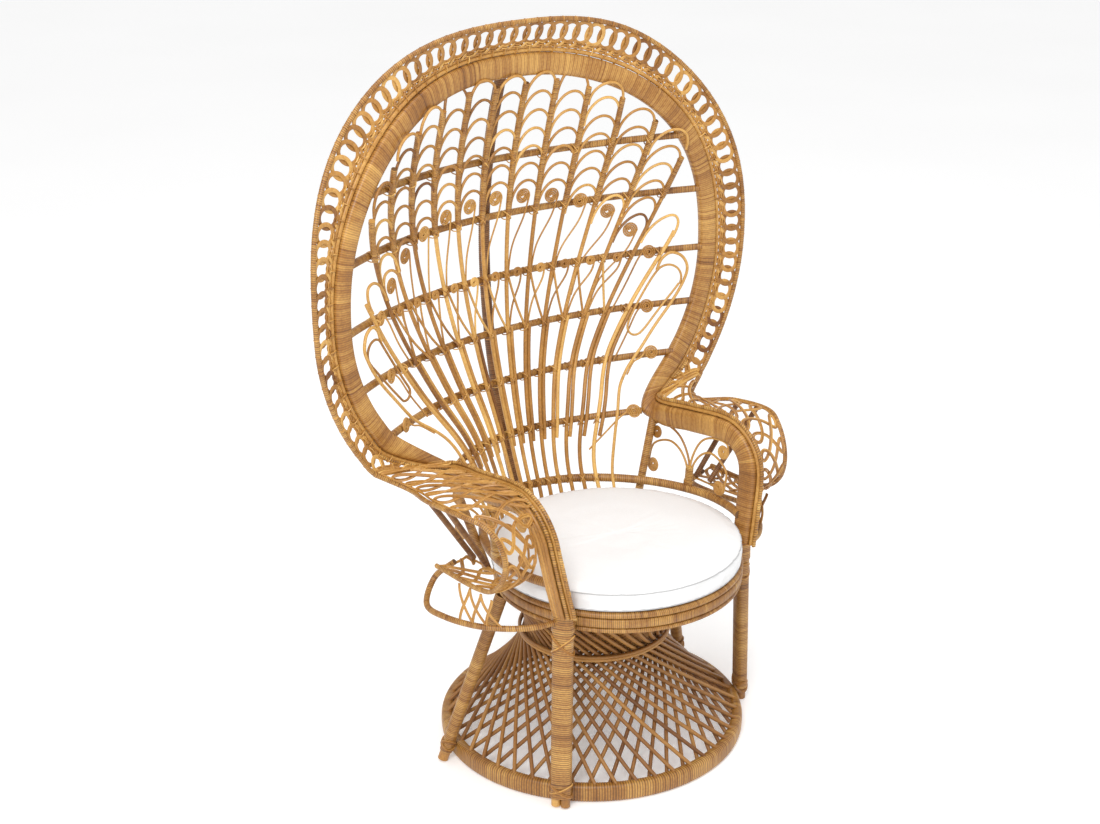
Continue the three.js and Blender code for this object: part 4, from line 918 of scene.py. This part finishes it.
# The back is a dish: deepest on the middle line, its edge on the hoop
DISH_DEEPEST = 312
DISH_WAIST = 945
DISH_FOOT = 222
DISH_FALL = (DISH_DEEPEST - DISH_FOOT) / (DISH_WAIST - SEAT_RAIL_HEIGHT) ** 2
DISH_TOP_RISE = HOOP_CENTRE + HOOP_HALF_HEIGHT - DISH_WAIST
DISH_TOP_FALL = (DISH_DEEPEST - HOOP_SIDE_DEPTH - HOOP_TOP_LEAN) / DISH_TOP_RISE**2
STEM_FOOT_PITCH = 23
STEM_TOP_PITCH = 74
STEM_FAN_HEIGHT = 760
STEM_FAN_POWER = 1.7
FOOT_HALF_WIDTH = STEM_FOOT_PITCH * 7.5
SHOULDER = RAIL_HEIGHTS[4]


def dish_middle(z):
    fall = np.where(z > DISH_WAIST, DISH_TOP_FALL, DISH_FALL)
    return DISH_DEEPEST - fall * (z - DISH_WAIST) ** 2


def hoop_reach(z):
    share = (z - HOOP_CENTRE) / HOOP_HALF_HEIGHT
    power = np.where(share > 0, HOOP_ROUNDNESS, 1)
    return HOOP_HALF_WIDTH * np.maximum(1 - np.abs(share) ** (2 / power), 0.1) ** (power / 2)


def hoop_curl(z):
    share = np.clip((z - HOOP_CENTRE) / HOOP_HALF_HEIGHT, 0, 1)
    edge = HOOP_SIDE_DEPTH + HOOP_TOP_LEAN * share ** (HOOP_LEAN_POWER / HOOP_ROUNDNESS)
    return (dish_middle(z) - edge) / hoop_reach(z) ** 2


NECK_CURL = (dish_middle(NECK[2]) - NECK[1]) / NECK[0] ** 2
FOOT_SHARE = (FOOT_HALF_WIDTH / SEAT_RAIL_HALF_WIDTH) ** SEAT_RAIL_ROUNDNESS
FOOT_SIDE = SEAT_RAIL_DEPTH + SEAT_RAIL_REACH * (1 - FOOT_SHARE) ** (1 / SEAT_RAIL_ROUNDNESS)
FOOT_CURL = (DISH_FOOT - FOOT_SIDE) / FOOT_HALF_WIDTH**2


def dish_depth(x, z):
    low = mix(FOOT_CURL, NECK_CURL, (z - SEAT_RAIL_HEIGHT) / (NECK[2] - SEAT_RAIL_HEIGHT))
    shoulder = mix(NECK_CURL, hoop_curl(SHOULDER), (z - NECK[2]) / (SHOULDER - NECK[2]))
    curl = np.where(z >= SHOULDER, hoop_curl(z), np.where(z >= NECK[2], shoulder, low))
    return dish_middle(z) - curl * x * x


def on_dish(x, z, forward):
    """Points in front of the dish by as much as forward says."""
    x, z = np.broadcast_arrays(np.asarray(x, float), np.asarray(z, float))
    slope_x = (dish_depth(x + 1, z) - dish_depth(x - 1, z)) / 2
    slope_z = (dish_depth(x, z + 1) - dish_depth(x, z - 1)) / 2
    ahead = unit(np.stack([slope_x, -np.ones_like(x), slope_z], axis=-1))
    return np.stack([x, dish_depth(x, z), z], axis=-1) + ahead * forward


def dish_frame(x, z, forward):
    """A point in front of the dish, and the ways aside and up along it."""
    here = on_dish([x, x + 1, x], [z, z, z + 1], forward)
    return here[0], unit(here[1] - here[0]), unit(here[2] - here[0])


def laid(x, z, forward):
    """A line in front of the dish that bends gently where the dish has an edge."""
    flat = np.column_stack([x, np.zeros(len(x)), z])
    offset = np.pad(on_dish(x, z, forward) - flat, ((7, 7), (0, 0)), mode="edge")
    return flat + np.stack([np.convolve(column, np.ones(15) / 15, "valid") for column in offset.T], axis=1)


def drawn(weave, stations, radius, forward):
    """A cane drawn on the dish through stations of (x, z)."""
    flat = np.asarray(stations, float)
    line = curve(np.column_stack([flat, np.zeros(len(flat))]), 4)
    weave.bare(laid(line[:, 0], line[:, 1], forward), radius, 7)


# Rails, seat rail, rear posts and the pole behind them
POST_RADIUS = 8.8
POLE_RADIUS = 11.6
POLE_FOOT = 436
POLE_HEAD = 1326
for i, height in enumerate(RAIL_HEIGHTS):
    lowest = i == len(RAIL_HEIGHTS) - 1
    rise = LOW_RAIL_RISE if lowest else RAIL_RISE
    reach = LOW_RAIL_REACH if lowest else float(hoop_reach(height + rise)) + 8
    share = np.linspace(-1, 1, 90)
    line = on_dish(reach * share, height + rise * share**2, 0)
    wound_cane("back_rail_" + str(i + 1), line, RAIL_RADIUS - 0.6, 3.8)

rail_turn = np.linspace(0, math.pi / 2, 60)
rail_power = 2 / SEAT_RAIL_ROUNDNESS
front_turn = np.linspace(math.asin(-106 / SEAT_RAIL_HALF_WIDTH), 0, 12)[:-1]
rail_x = SEAT_RAIL_HALF_WIDTH * np.concatenate([np.cos(front_turn), np.cos(rail_turn) ** rail_power])
front_y = SEAT_RAIL_HALF_WIDTH * np.sin(front_turn)
rail_y = SEAT_RAIL_DEPTH + np.concatenate([front_y, SEAT_RAIL_REACH * np.sin(rail_turn) ** rail_power])
rail_half = np.column_stack([rail_x, rail_y, np.full(len(rail_x), SEAT_RAIL_HEIGHT)])
wound_cane("seat_rail", np.vstack([rail_half[:-1], mirrored(rail_half)[::-1]]), RAIL_RADIUS + 1, 4.2)

for side, way in SIDES:
    post_low, post_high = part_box("rear_post_" + side)
    outside = post_high.x if way > 0 else post_low.x
    head = vec(outside / MM - way * 9, 104, post_high.z / MM - 1)
    foot = mirrored(on_circle(259.3, 40, SEAT_DEPTH, 380), way)
    wound_cane("rear_post_" + side, np.array([foot, head]), POST_RADIUS, 3.8, sides=12)

pole_line = on_dish(0, np.linspace(POLE_FOOT, POLE_HEAD, 60), -POLE_BEHIND)
wound_cane("centre_pole", pole_line, POLE_RADIUS, 4.2, DARK, 12)

# Fan: upright canes, doubled low down and wound high up, with arches and coils between them
STEM_FOOT = 418
STEM_RADIUS = 4.3
DOUBLE_RADIUS = 4.1
DOUBLE_SHIFT = 8.6
STEM_TOP_RADIUS = 6.2
OUTER_STEM = 6.5
OUTER_STEM_END = 958
OUTER_BAY = 6
OUTER_ARCH = 950
SPIRAL_HEIGHTS = (1067, 1062, 1054, 1035, 1006, 960)
SPIRAL_SIZE = 16
SPIRAL_TAIL = 168
SPIRAL_TURNS = 3.5
SPIRAL_RADIUS = 1.85
ARCH_RADIUS = 2.9
ARCH_RISE = 38
ARCH_LEAST_RISE = 24
ARCH_PITCH = 36
arch_share = vec(0.05, 0.07, 0.16, 0.34, 0.56, 0.77, 0.92, 0.985, 0.99)
arch_lift = vec(-0.5, -0.05, 0.45, 0.85, 1.0, 0.9, 0.6, 0.2, -0.25)


def stem_x(m, z):
    """How far aside the m-th upright stands at a height."""
    share = np.clip((np.asarray(z, float) - SEAT_RAIL_HEIGHT) / STEM_FAN_HEIGHT, 0, 1)
    return m * mix(STEM_FOOT_PITCH, STEM_TOP_PITCH, np.sin(share * math.pi / 2) ** STEM_FAN_POWER)


def room_above(x, z):
    """How far a point of the dish lies inside the hoop, as a share of the hoop's size."""
    power = 2 / HOOP_ROUNDNESS if z > HOOP_CENTRE else 2
    aside = abs(x / HOOP_HALF_WIDTH) ** power
    return 1 - (aside + abs((z - HOOP_CENTRE) / HOOP_HALF_HEIGHT) ** power) ** (1 / power)


def stem_end(m, margin):
    z = 800
    while z < 1320 and room_above(stem_x(m, z), z) > margin:
        z += 2
    return z


def stem(m):
    end = stem_end(m, 0.025)
    if abs(m) == OUTER_STEM:
        end = min(end, OUTER_STEM_END)
    z = np.arange(STEM_FOOT, end, 6.0)
    fan.bare(laid(stem_x(m, z), z, STEM_FORWARD), STEM_RADIUS)
    doubled = np.arange(RAIL_HEIGHTS[5] - 26, RAIL_HEIGHTS[3] + 12, 6.0)
    fan.bare(laid(stem_x(m, doubled) + DOUBLE_SHIFT, doubled, STEM_FORWARD), DOUBLE_RADIUS)
    if end > RAIL_HEIGHTS[1] + 30:
        top = np.arange(RAIL_HEIGHTS[1] + 4, end + 3, 4.0)
        fan_tops.wound(on_dish(stem_x(m, top), top, STEM_FORWARD), STEM_TOP_RADIUS, 3.6, 9)


def lashing(x, z):
    """Two crossed turns of thin cane where an upright passes a rail."""
    here, aside, up = dish_frame(x, z, STEM_FORWARD / 2)
    for way in (-1, 1):
        slant = unit(aside * way * 0.8 + up)
        ties.bare(loop(here, slant * 10.5, np.cross(aside, up) * 14.6, 16), 1.25, 5, True)


def scroll(x, z, size, turns, tail, radius, way=1, depth=None):
    """A flat, nearly upright coil of thin cane whose tail comes up to its side from below."""
    turn = np.arange(0, turns * 2 * math.pi, 0.3)
    shrink = mix(size, radius * 1.2, turn / turn[-1])
    middle, aside, up = dish_frame(x, z, STEM_FORWARD - 1)
    up = unit(vec(0, np.clip(up[1] / up[2], -0.15, 0.15), 1))
    aside = unit(np.cross(up, np.cross(aside, up)))
    if depth is not None:
        middle = vec(x, depth, z)
    coil = middle + np.outer(way * shrink * np.cos(turn), aside) + np.outer(shrink * np.sin(turn), up)
    tail = np.array(tail)
    line = curve(np.vstack([on_dish(tail[:, 0], tail[:, 1], STEM_FORWARD - 1), coil[:1]]), 4)
    scrolls.bare(np.vstack([line[:-1], coil]), radius, 7)


def teardrop(high, wide_end, low, narrow_end, way):
    """A closed loop of cane round two circles, a wide one by the hoop and a narrow one below."""
    slope = low - high
    facing = math.atan2(slope[1], slope[0])
    bite = math.acos((wide_end - narrow_end) / np.linalg.norm(slope))
    round_high = np.linspace(facing + bite, facing + 2 * math.pi - bite, 12)
    round_low = np.linspace(facing - bite, facing + bite, 8)
    flat = [high + wide_end * vec(math.cos(t), math.sin(t)) for t in round_high]
    flat += [low + narrow_end * vec(math.cos(t), math.sin(t)) for t in round_low]
    drawn(scrolls, np.array(flat + flat[:1]) * vec(way, 1), 2.5, STEM_FORWARD)


def arch_column(bay, heights):
    """Arches one above the other between two uprights, up to the hoop."""
    left, right = bay - 0.5, bay + 0.5
    least_room = -0.03 if abs(bay) < 5 else -0.015
    for z in heights:
        crown_x = mix(stem_x(left, z), stem_x(right, z), 0.6)
        rise = ARCH_RISE
        while rise >= ARCH_LEAST_RISE and room_above(crown_x, z + rise) < least_room:
            rise -= 2
        if rise < ARCH_LEAST_RISE or room_above(crown_x, z) < 0.015:
            break
        arch_z = z + rise * arch_lift
        arch_x = mix(stem_x(left, arch_z), stem_x(right, arch_z), arch_share)
        drawn(arches, np.column_stack([arch_x, arch_z]), ARCH_RADIUS, STEM_FORWARD + 1)


def bay_canes(bay):
    """A coil under the arches, and below it a small coil and a cane that cross between two rails."""
    left, right = bay - 0.5, bay + 0.5
    centre_z = SPIRAL_HEIGHTS[abs(bay)]
    centre_x = stem_x(bay, centre_z)
    low = centre_z - SPIRAL_TAIL
    low_x = stem_x(left, low)
    bends = ((0.3, 0.38), (0.82, 0.76))
    tail = [(mix(low_x, centre_x + SPIRAL_SIZE, a), mix(low, centre_z, b)) for a, b in bends]
    scroll(centre_x, centre_z, SPIRAL_SIZE, SPIRAL_TURNS, [(low_x + 3, low - 6), *tail], SPIRAL_RADIUS)
    arch_column(bay, [centre_z - 4 + level * ARCH_PITCH * (1 + 0.01 * level) for level in range(12)])
    base_z, top_z = RAIL_HEIGHTS[3], RAIL_HEIGHTS[2]
    low_x, high_x = stem_x(left, base_z), stem_x(bay, top_z + 4)
    bends = ((0.4, 0.45), (0.9, 0.85))
    tail = [(mix(low_x, high_x + 10, a), mix(base_z, top_z, b)) for a, b in bends]
    scroll(high_x, top_z + 4, 10, 2.2, [(low_x + 3, base_z - 4), *tail], 2.1)
    low_x, high_x = stem_x(right, base_z), stem_x(left, top_z)
    bend = (mix(low_x, high_x, 0.45), mix(base_z, top_z, 0.4))
    drawn(scrolls, [(low_x, base_z - 4), bend, (high_x, top_z + 14)], 2.6, STEM_FORWARD + 2)


fan = Weave()
fan_tops = Weave()
scrolls = Weave()
arches = Weave()
ties = Weave()
for m in np.arange(-OUTER_STEM, OUTER_STEM + 1):
    stem(m)
    end = stem_end(m, 0.1)
    for height in (*RAIL_HEIGHTS, SEAT_RAIL_HEIGHT):
        x = stem_x(m, height)
        if height < end:
            reach = LOW_RAIL_REACH if height == RAIL_HEIGHTS[5] else hoop_reach(height)
            rise = 0 if height == SEAT_RAIL_HEIGHT else RAIL_RISE * (x / reach) ** 2
            lashing(x, height + rise)
for bay in range(-OUTER_BAY, OUTER_BAY + 1):
    if abs(bay) == OUTER_BAY:
        arch_column(bay, [OUTER_ARCH])
    else:
        bay_canes(bay)

# Side canes: coils, a long loop, and the outermost upright, which bends over towards the middle
SIDE_COILS = (
    ((345, 208, 908), (82, 125)),
    ((333, 200, 792), (82, 112)),
    ((322, 173, 697), (62, 44)),
    ((233, 129, 597), (82, 80)),
)
OUTER_UPRIGHT = [(7.5 * STEM_FOOT_PITCH, 430), (7.7 * STEM_FOOT_PITCH, 470), (194, 530), (213, 588)]
OUTER_UPRIGHT += [(236, 634), (296, 687), (349, 750), (390, 801), (415, 843), (424, 872), (413, 897)]
OUTER_UPRIGHT += [(391, 905), (374, 893), (364, 868)]
for way in (-1, 1):
    for (x, depth, z), (aside, low) in SIDE_COILS:
        tail = [(x - aside, z - low), (x - aside * 0.56, z - low * 0.55), (x - 17, z - 14)]
        scroll(way * x, z, 15, 3.2, np.array(tail) * vec(way, 1), 1.9, -way, depth)
    teardrop(vec(386, 852), 26, vec(308, 747), 16, way)
    drawn(arches, np.array(OUTER_UPRIGHT) * vec(way, 1), 3.3, STEM_FORWARD + 1)

fan.piece("fan_stems", BARE, ["fan_canes_" + side + "_" + str(i) for side, _ in SIDES for i in range(1, 6)])
fan_tops.piece("fan_stem_tops_wrapped", WRAPPED)
scrolls.piece("fan_scrolls", BARE)
arches.piece("fan_arches", BARE)
ties.piece("fan_lashings", BARE)

# Arm panels: a stem on the seat rail with two arches each way that end in coils
PANEL_HALF_WIDTH = 257.3
PANEL_STEM_DEPTH = -13
PANEL_LEAN = 0.1
PANEL_CANE_RADIUS = 2.4
PANEL_FOOT = SEAT_RAIL_HEIGHT + RAIL_RADIUS
PANEL_CANES = (
    (1, 3, (64, 577), (96, 572), (92, 554), 13),
    (1, 7, (52, 545), (98, 525), (95, 480), 15),
    (-1, 3, (-70, 586), (-112, 585), (-103, 566), 14),
    (-1, 7, (-72, 553), (-116, 528), (-101, 488), 15),
)


def on_panel(flat):
    """Points of (y, z) on the leaning plane under the arm."""
    flat = np.asarray(flat, float)
    return np.column_stack([PANEL_HALF_WIDTH + (flat[:, 1] - PANEL_FOOT) * PANEL_LEAN, flat])


def panel_cane(weave, way, back, shift, crown, shoulder, eye, size):
    """A cane that rises from the stem, bends over backward or forward and ends in a tight coil."""
    stem_y = PANEL_STEM_DEPTH + back * shift
    line = [(stem_y, PANEL_FOOT), (stem_y, mix(PANEL_FOOT, crown[1], 0.45))]
    line += [(mix(stem_y, crown[0], 0.42), mix(PANEL_FOOT, crown[1], 0.86)), crown, shoulder]
    turn = np.arange(0.25, 3.6 * 2 * math.pi, 0.3)
    shrink = mix(size, 2.6, turn / turn[-1])
    coil = np.stack([eye[0] + back * shrink * np.cos(turn), eye[1] - shrink * np.sin(turn)], axis=1)
    flat = np.vstack([line, [(eye[0] + back * size, eye[1])]])
    flat = curve(np.column_stack([flat, np.zeros(len(flat))]), 4)[:, :2]
    weave.bare(mirrored(on_panel(np.vstack([flat, coil])), way), PANEL_CANE_RADIUS, 7)


for side, way in SIDES:
    panel = Weave()
    for sizes in PANEL_CANES:
        panel_cane(panel, way, *sizes)
    for bottom, top, half in ((-6, 9, 13), (7, 40, 10.5)):
        ends = [(PANEL_STEM_DEPTH, PANEL_FOOT + bottom), (PANEL_STEM_DEPTH, PANEL_FOOT + top)]
        path = mirrored(even(on_panel(ends), 1.2), way)
        across, through = (np.tile(rows, (len(path), 1)) for rows in (vec(0, 1, 0), vec(way, 0, 0)))
        panel.wrap(path, across, through, half, 5.5, 12)
    panel.dress("arm_curls_" + side, "coiled", BARE)

# Cushion: a boxed round cover, simulated over its filling, with a fine seam round its top and bottom edges in
# greyer cotton as painted shade
CUSHION_DEPTH = -73
CUSHION_RADIUS = 248
CUSHION_BOTTOM = 410
CUSHION_SEAM = 445
CUSHION_CROWN = 11
CUSHION_BULGE = 2.5
CUSHION_SEGMENTS = 180
FILLING_STEPS = 20
MOST_SWELLING = 6 * MM


def cushion_profile():
    """Rows of (radius, height) from the middle of the bottom, round the side band, to the top."""
    rows = [(CUSHION_RADIUS * s, CUSHION_BOTTOM) for s in np.linspace(0.02, 0.985, 30)]
    low_seam = len(rows)
    for s in np.linspace(0, 1, 13):
        bulge = CUSHION_BULGE * math.sin(math.pi * s)
        rows.append((CUSHION_RADIUS + bulge, mix(CUSHION_BOTTOM + 2, CUSHION_SEAM, s)))
    high_seam = len(rows) - 1
    for s in np.linspace(0.985, 0.02, 44):
        rows.append((CUSHION_RADIUS * s, CUSHION_SEAM + 1 + CUSHION_CROWN * (1 - s**4)))
    return rows, low_seam, high_seam


def fill_cushion(cushion, bottom, top_edge):
    """Swells the cover under a little pressure; the bottom is held, and the top seam nearly so."""
    mesh = cushion.data
    held = cushion.vertex_groups.new(name="held")
    held.add(bottom.ravel().tolist(), 1.0, "REPLACE")
    held.add(top_edge.tolist(), 0.6, "REPLACE")
    before = np.empty(len(mesh.vertices) * 3)
    mesh.vertices.foreach_get("co", before)
    cloth = cushion.modifiers.new("filling", "CLOTH")
    settings = cloth.settings
    settings.quality = 6
    settings.mass = 0.3
    settings.use_pressure = True
    settings.uniform_pressure_force = 1.5
    settings.tension_stiffness = 12
    settings.compression_stiffness = 12
    settings.shear_stiffness = 6
    settings.bending_stiffness = 0.4
    settings.shrink_min = -0.012
    settings.vertex_group_mass = "held"
    settings.pin_stiffness = 1.0
    settings.effector_weights.gravity = 0
    cloth.collision_settings.use_collision = False
    cloth.collision_settings.use_self_collision = False
    cloth.point_cache.frame_start = 1
    cloth.point_cache.frame_end = FILLING_STEPS
    scene = bpy.context.scene
    for step in range(1, FILLING_STEPS + 1):
        scene.frame_set(step)
    settled = cushion.evaluated_get(bpy.context.evaluated_depsgraph_get())
    after = np.empty(len(before))
    settled.data.vertices.foreach_get("co", after)
    moved = (after - before).reshape(-1, 3)
    size = np.linalg.norm(moved, axis=1, keepdims=True)
    moved = moved * np.minimum(1, MOST_SWELLING / np.maximum(size, 1e-9))
    cushion.modifiers.remove(cloth)
    scene.frame_set(1)
    mesh.vertices.foreach_set("co", before + moved.ravel())
    mesh.update()


profile, low_seam, high_seam = cushion_profile()
rings = []
for radius, height in profile:
    middle = vec(0, CUSHION_DEPTH, height)
    rings.append(loop(middle, vec(radius, 0, 0), vec(0, radius, 0), CUSHION_SEGMENTS))
index = np.arange(len(profile) * CUSHION_SEGMENTS).reshape(-1, CUSHION_SEGMENTS)
corners = [index[:-1], np.roll(index[:-1], -1, 1), np.roll(index[1:], -1, 1), index[1:]]
faces = np.stack(corners, axis=-1).reshape(-1, 4).tolist()
faces += [index[0][::-1].tolist(), index[-1].tolist()]
cover = bpy.data.meshes.new("cushion_cover")
cover.from_pydata(place(np.vstack(rings)).tolist(), [], faces)
cushion = bpy.data.objects.new("cushion_cover", cover)
bpy.context.scene.collection.objects.link(cushion)
fill_cushion(cushion, index[: low_seam + 1], index[high_seam])
cover.materials.append(cotton)
cover.polygons.foreach_set("use_smooth", np.ones(len(faces), bool))
cover_points = np.array([v.co for v in cover.vertices])
# The seam welts take the greyer cotton: painted shade along the seam lines
seams = Weave()
for row in (low_seam, high_seam):
    line = cover_points[index[row]] / MM - vec(0, AXIS_DEPTH / MM, 0)
    seams.bare(line, 1.2, 7, True, UP)
seams.piece("cushion_seams", SEAM_SHADE, body="cushion")
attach(cushion, "cushion")
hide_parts("cushion_bottom_panel", "cushion_top_panel", "cushion_side_band", "cushion_foam")

# Studio: pale floor, white surroundings and large soft lights
FLOOR_REACH = 12
WHITE = (1, 1, 1, 1)
LAMPS = (
    ("key", (-2.3, -1.8, 3.2), 1.2, 78),
    ("fill", (2.6, -2.4, 2.2), 2.0, 5),
    ("top", (0.2, -0.2, 3.8), 1.8, 30),
)
LAMP_AIM = Vector((0, 0, 0.7))


def lay_floor():
    mesh = bpy.data.meshes.new("floor")
    corners = [(FLOOR_REACH * x, FLOOR_REACH * y, 0) for x, y in ((-1, -1), (1, -1), (1, 1), (-1, 1))]
    mesh.from_pydata(corners, [], [(0, 1, 2, 3)])
    floor = bpy.data.objects.new("floor", mesh)
    bpy.context.scene.collection.objects.link(floor)
    material, tree, surface = shader("pale_floor", 0.9)
    drift = noise(tree, own_place(tree), 0.8)
    colour = ramp(tree, drift, [(0.3, (0.93, 0.93, 0.93)), (0.7, (0.95, 0.95, 0.95))])
    tree.links.new(colour, surface.inputs["Base Color"])
    surface.inputs["Emission Color"].default_value = WHITE
    surface.inputs["Emission Strength"].default_value = 0.2
    mesh.materials.append(material)


def light_up():
    world = bpy.data.worlds.new("studio")
    bpy.context.scene.world = world
    world.use_nodes = True
    sky = world.node_tree.nodes["Background"]
    sky.inputs["Color"].default_value = WHITE
    sky.inputs["Strength"].default_value = 0.78
    for name, spot, size, power in LAMPS:
        light = bpy.data.lights.new(name, "AREA")
        light.size = size
        light.energy = power
        lamp = bpy.data.objects.new(name, light)
        lamp.location = spot
        aim = LAMP_AIM - lamp.location
        lamp.rotation_euler = aim.to_track_quat("-Z", "Y").to_euler()
        bpy.context.scene.collection.objects.link(lamp)


def photo_camera():
    turn, tilt = math.radians(-41.442), math.radians(21.252)
    back = Vector((math.sin(turn) * math.cos(tilt), -math.cos(turn) * math.cos(tilt), math.sin(tilt)))
    right = Vector((0, 0, 1)).cross(back).normalized()
    up = back.cross(right)
    lens = bpy.data.cameras.new("photo_camera")
    lens.sensor_width = 36
    lens.lens = 56.94
    lens.shift_x = -0.038
    lens.shift_y = 0.0034
    camera = bpy.data.objects.new("photo_camera", lens)
    camera.matrix_world = Matrix.LocRotScale(
        Vector((-2.1092, -2.3888 + AXIS_DEPTH, 1.9239)),
        Matrix((right, up, back)).transposed().to_quaternion(),
        Vector((1, 1, 1)),
    )
    bpy.context.scene.collection.objects.link(camera)
    bpy.context.scene.camera = camera


lay_floor()
light_up()
photo_camera()
bpy.context.scene.view_settings.view_transform = "Standard"
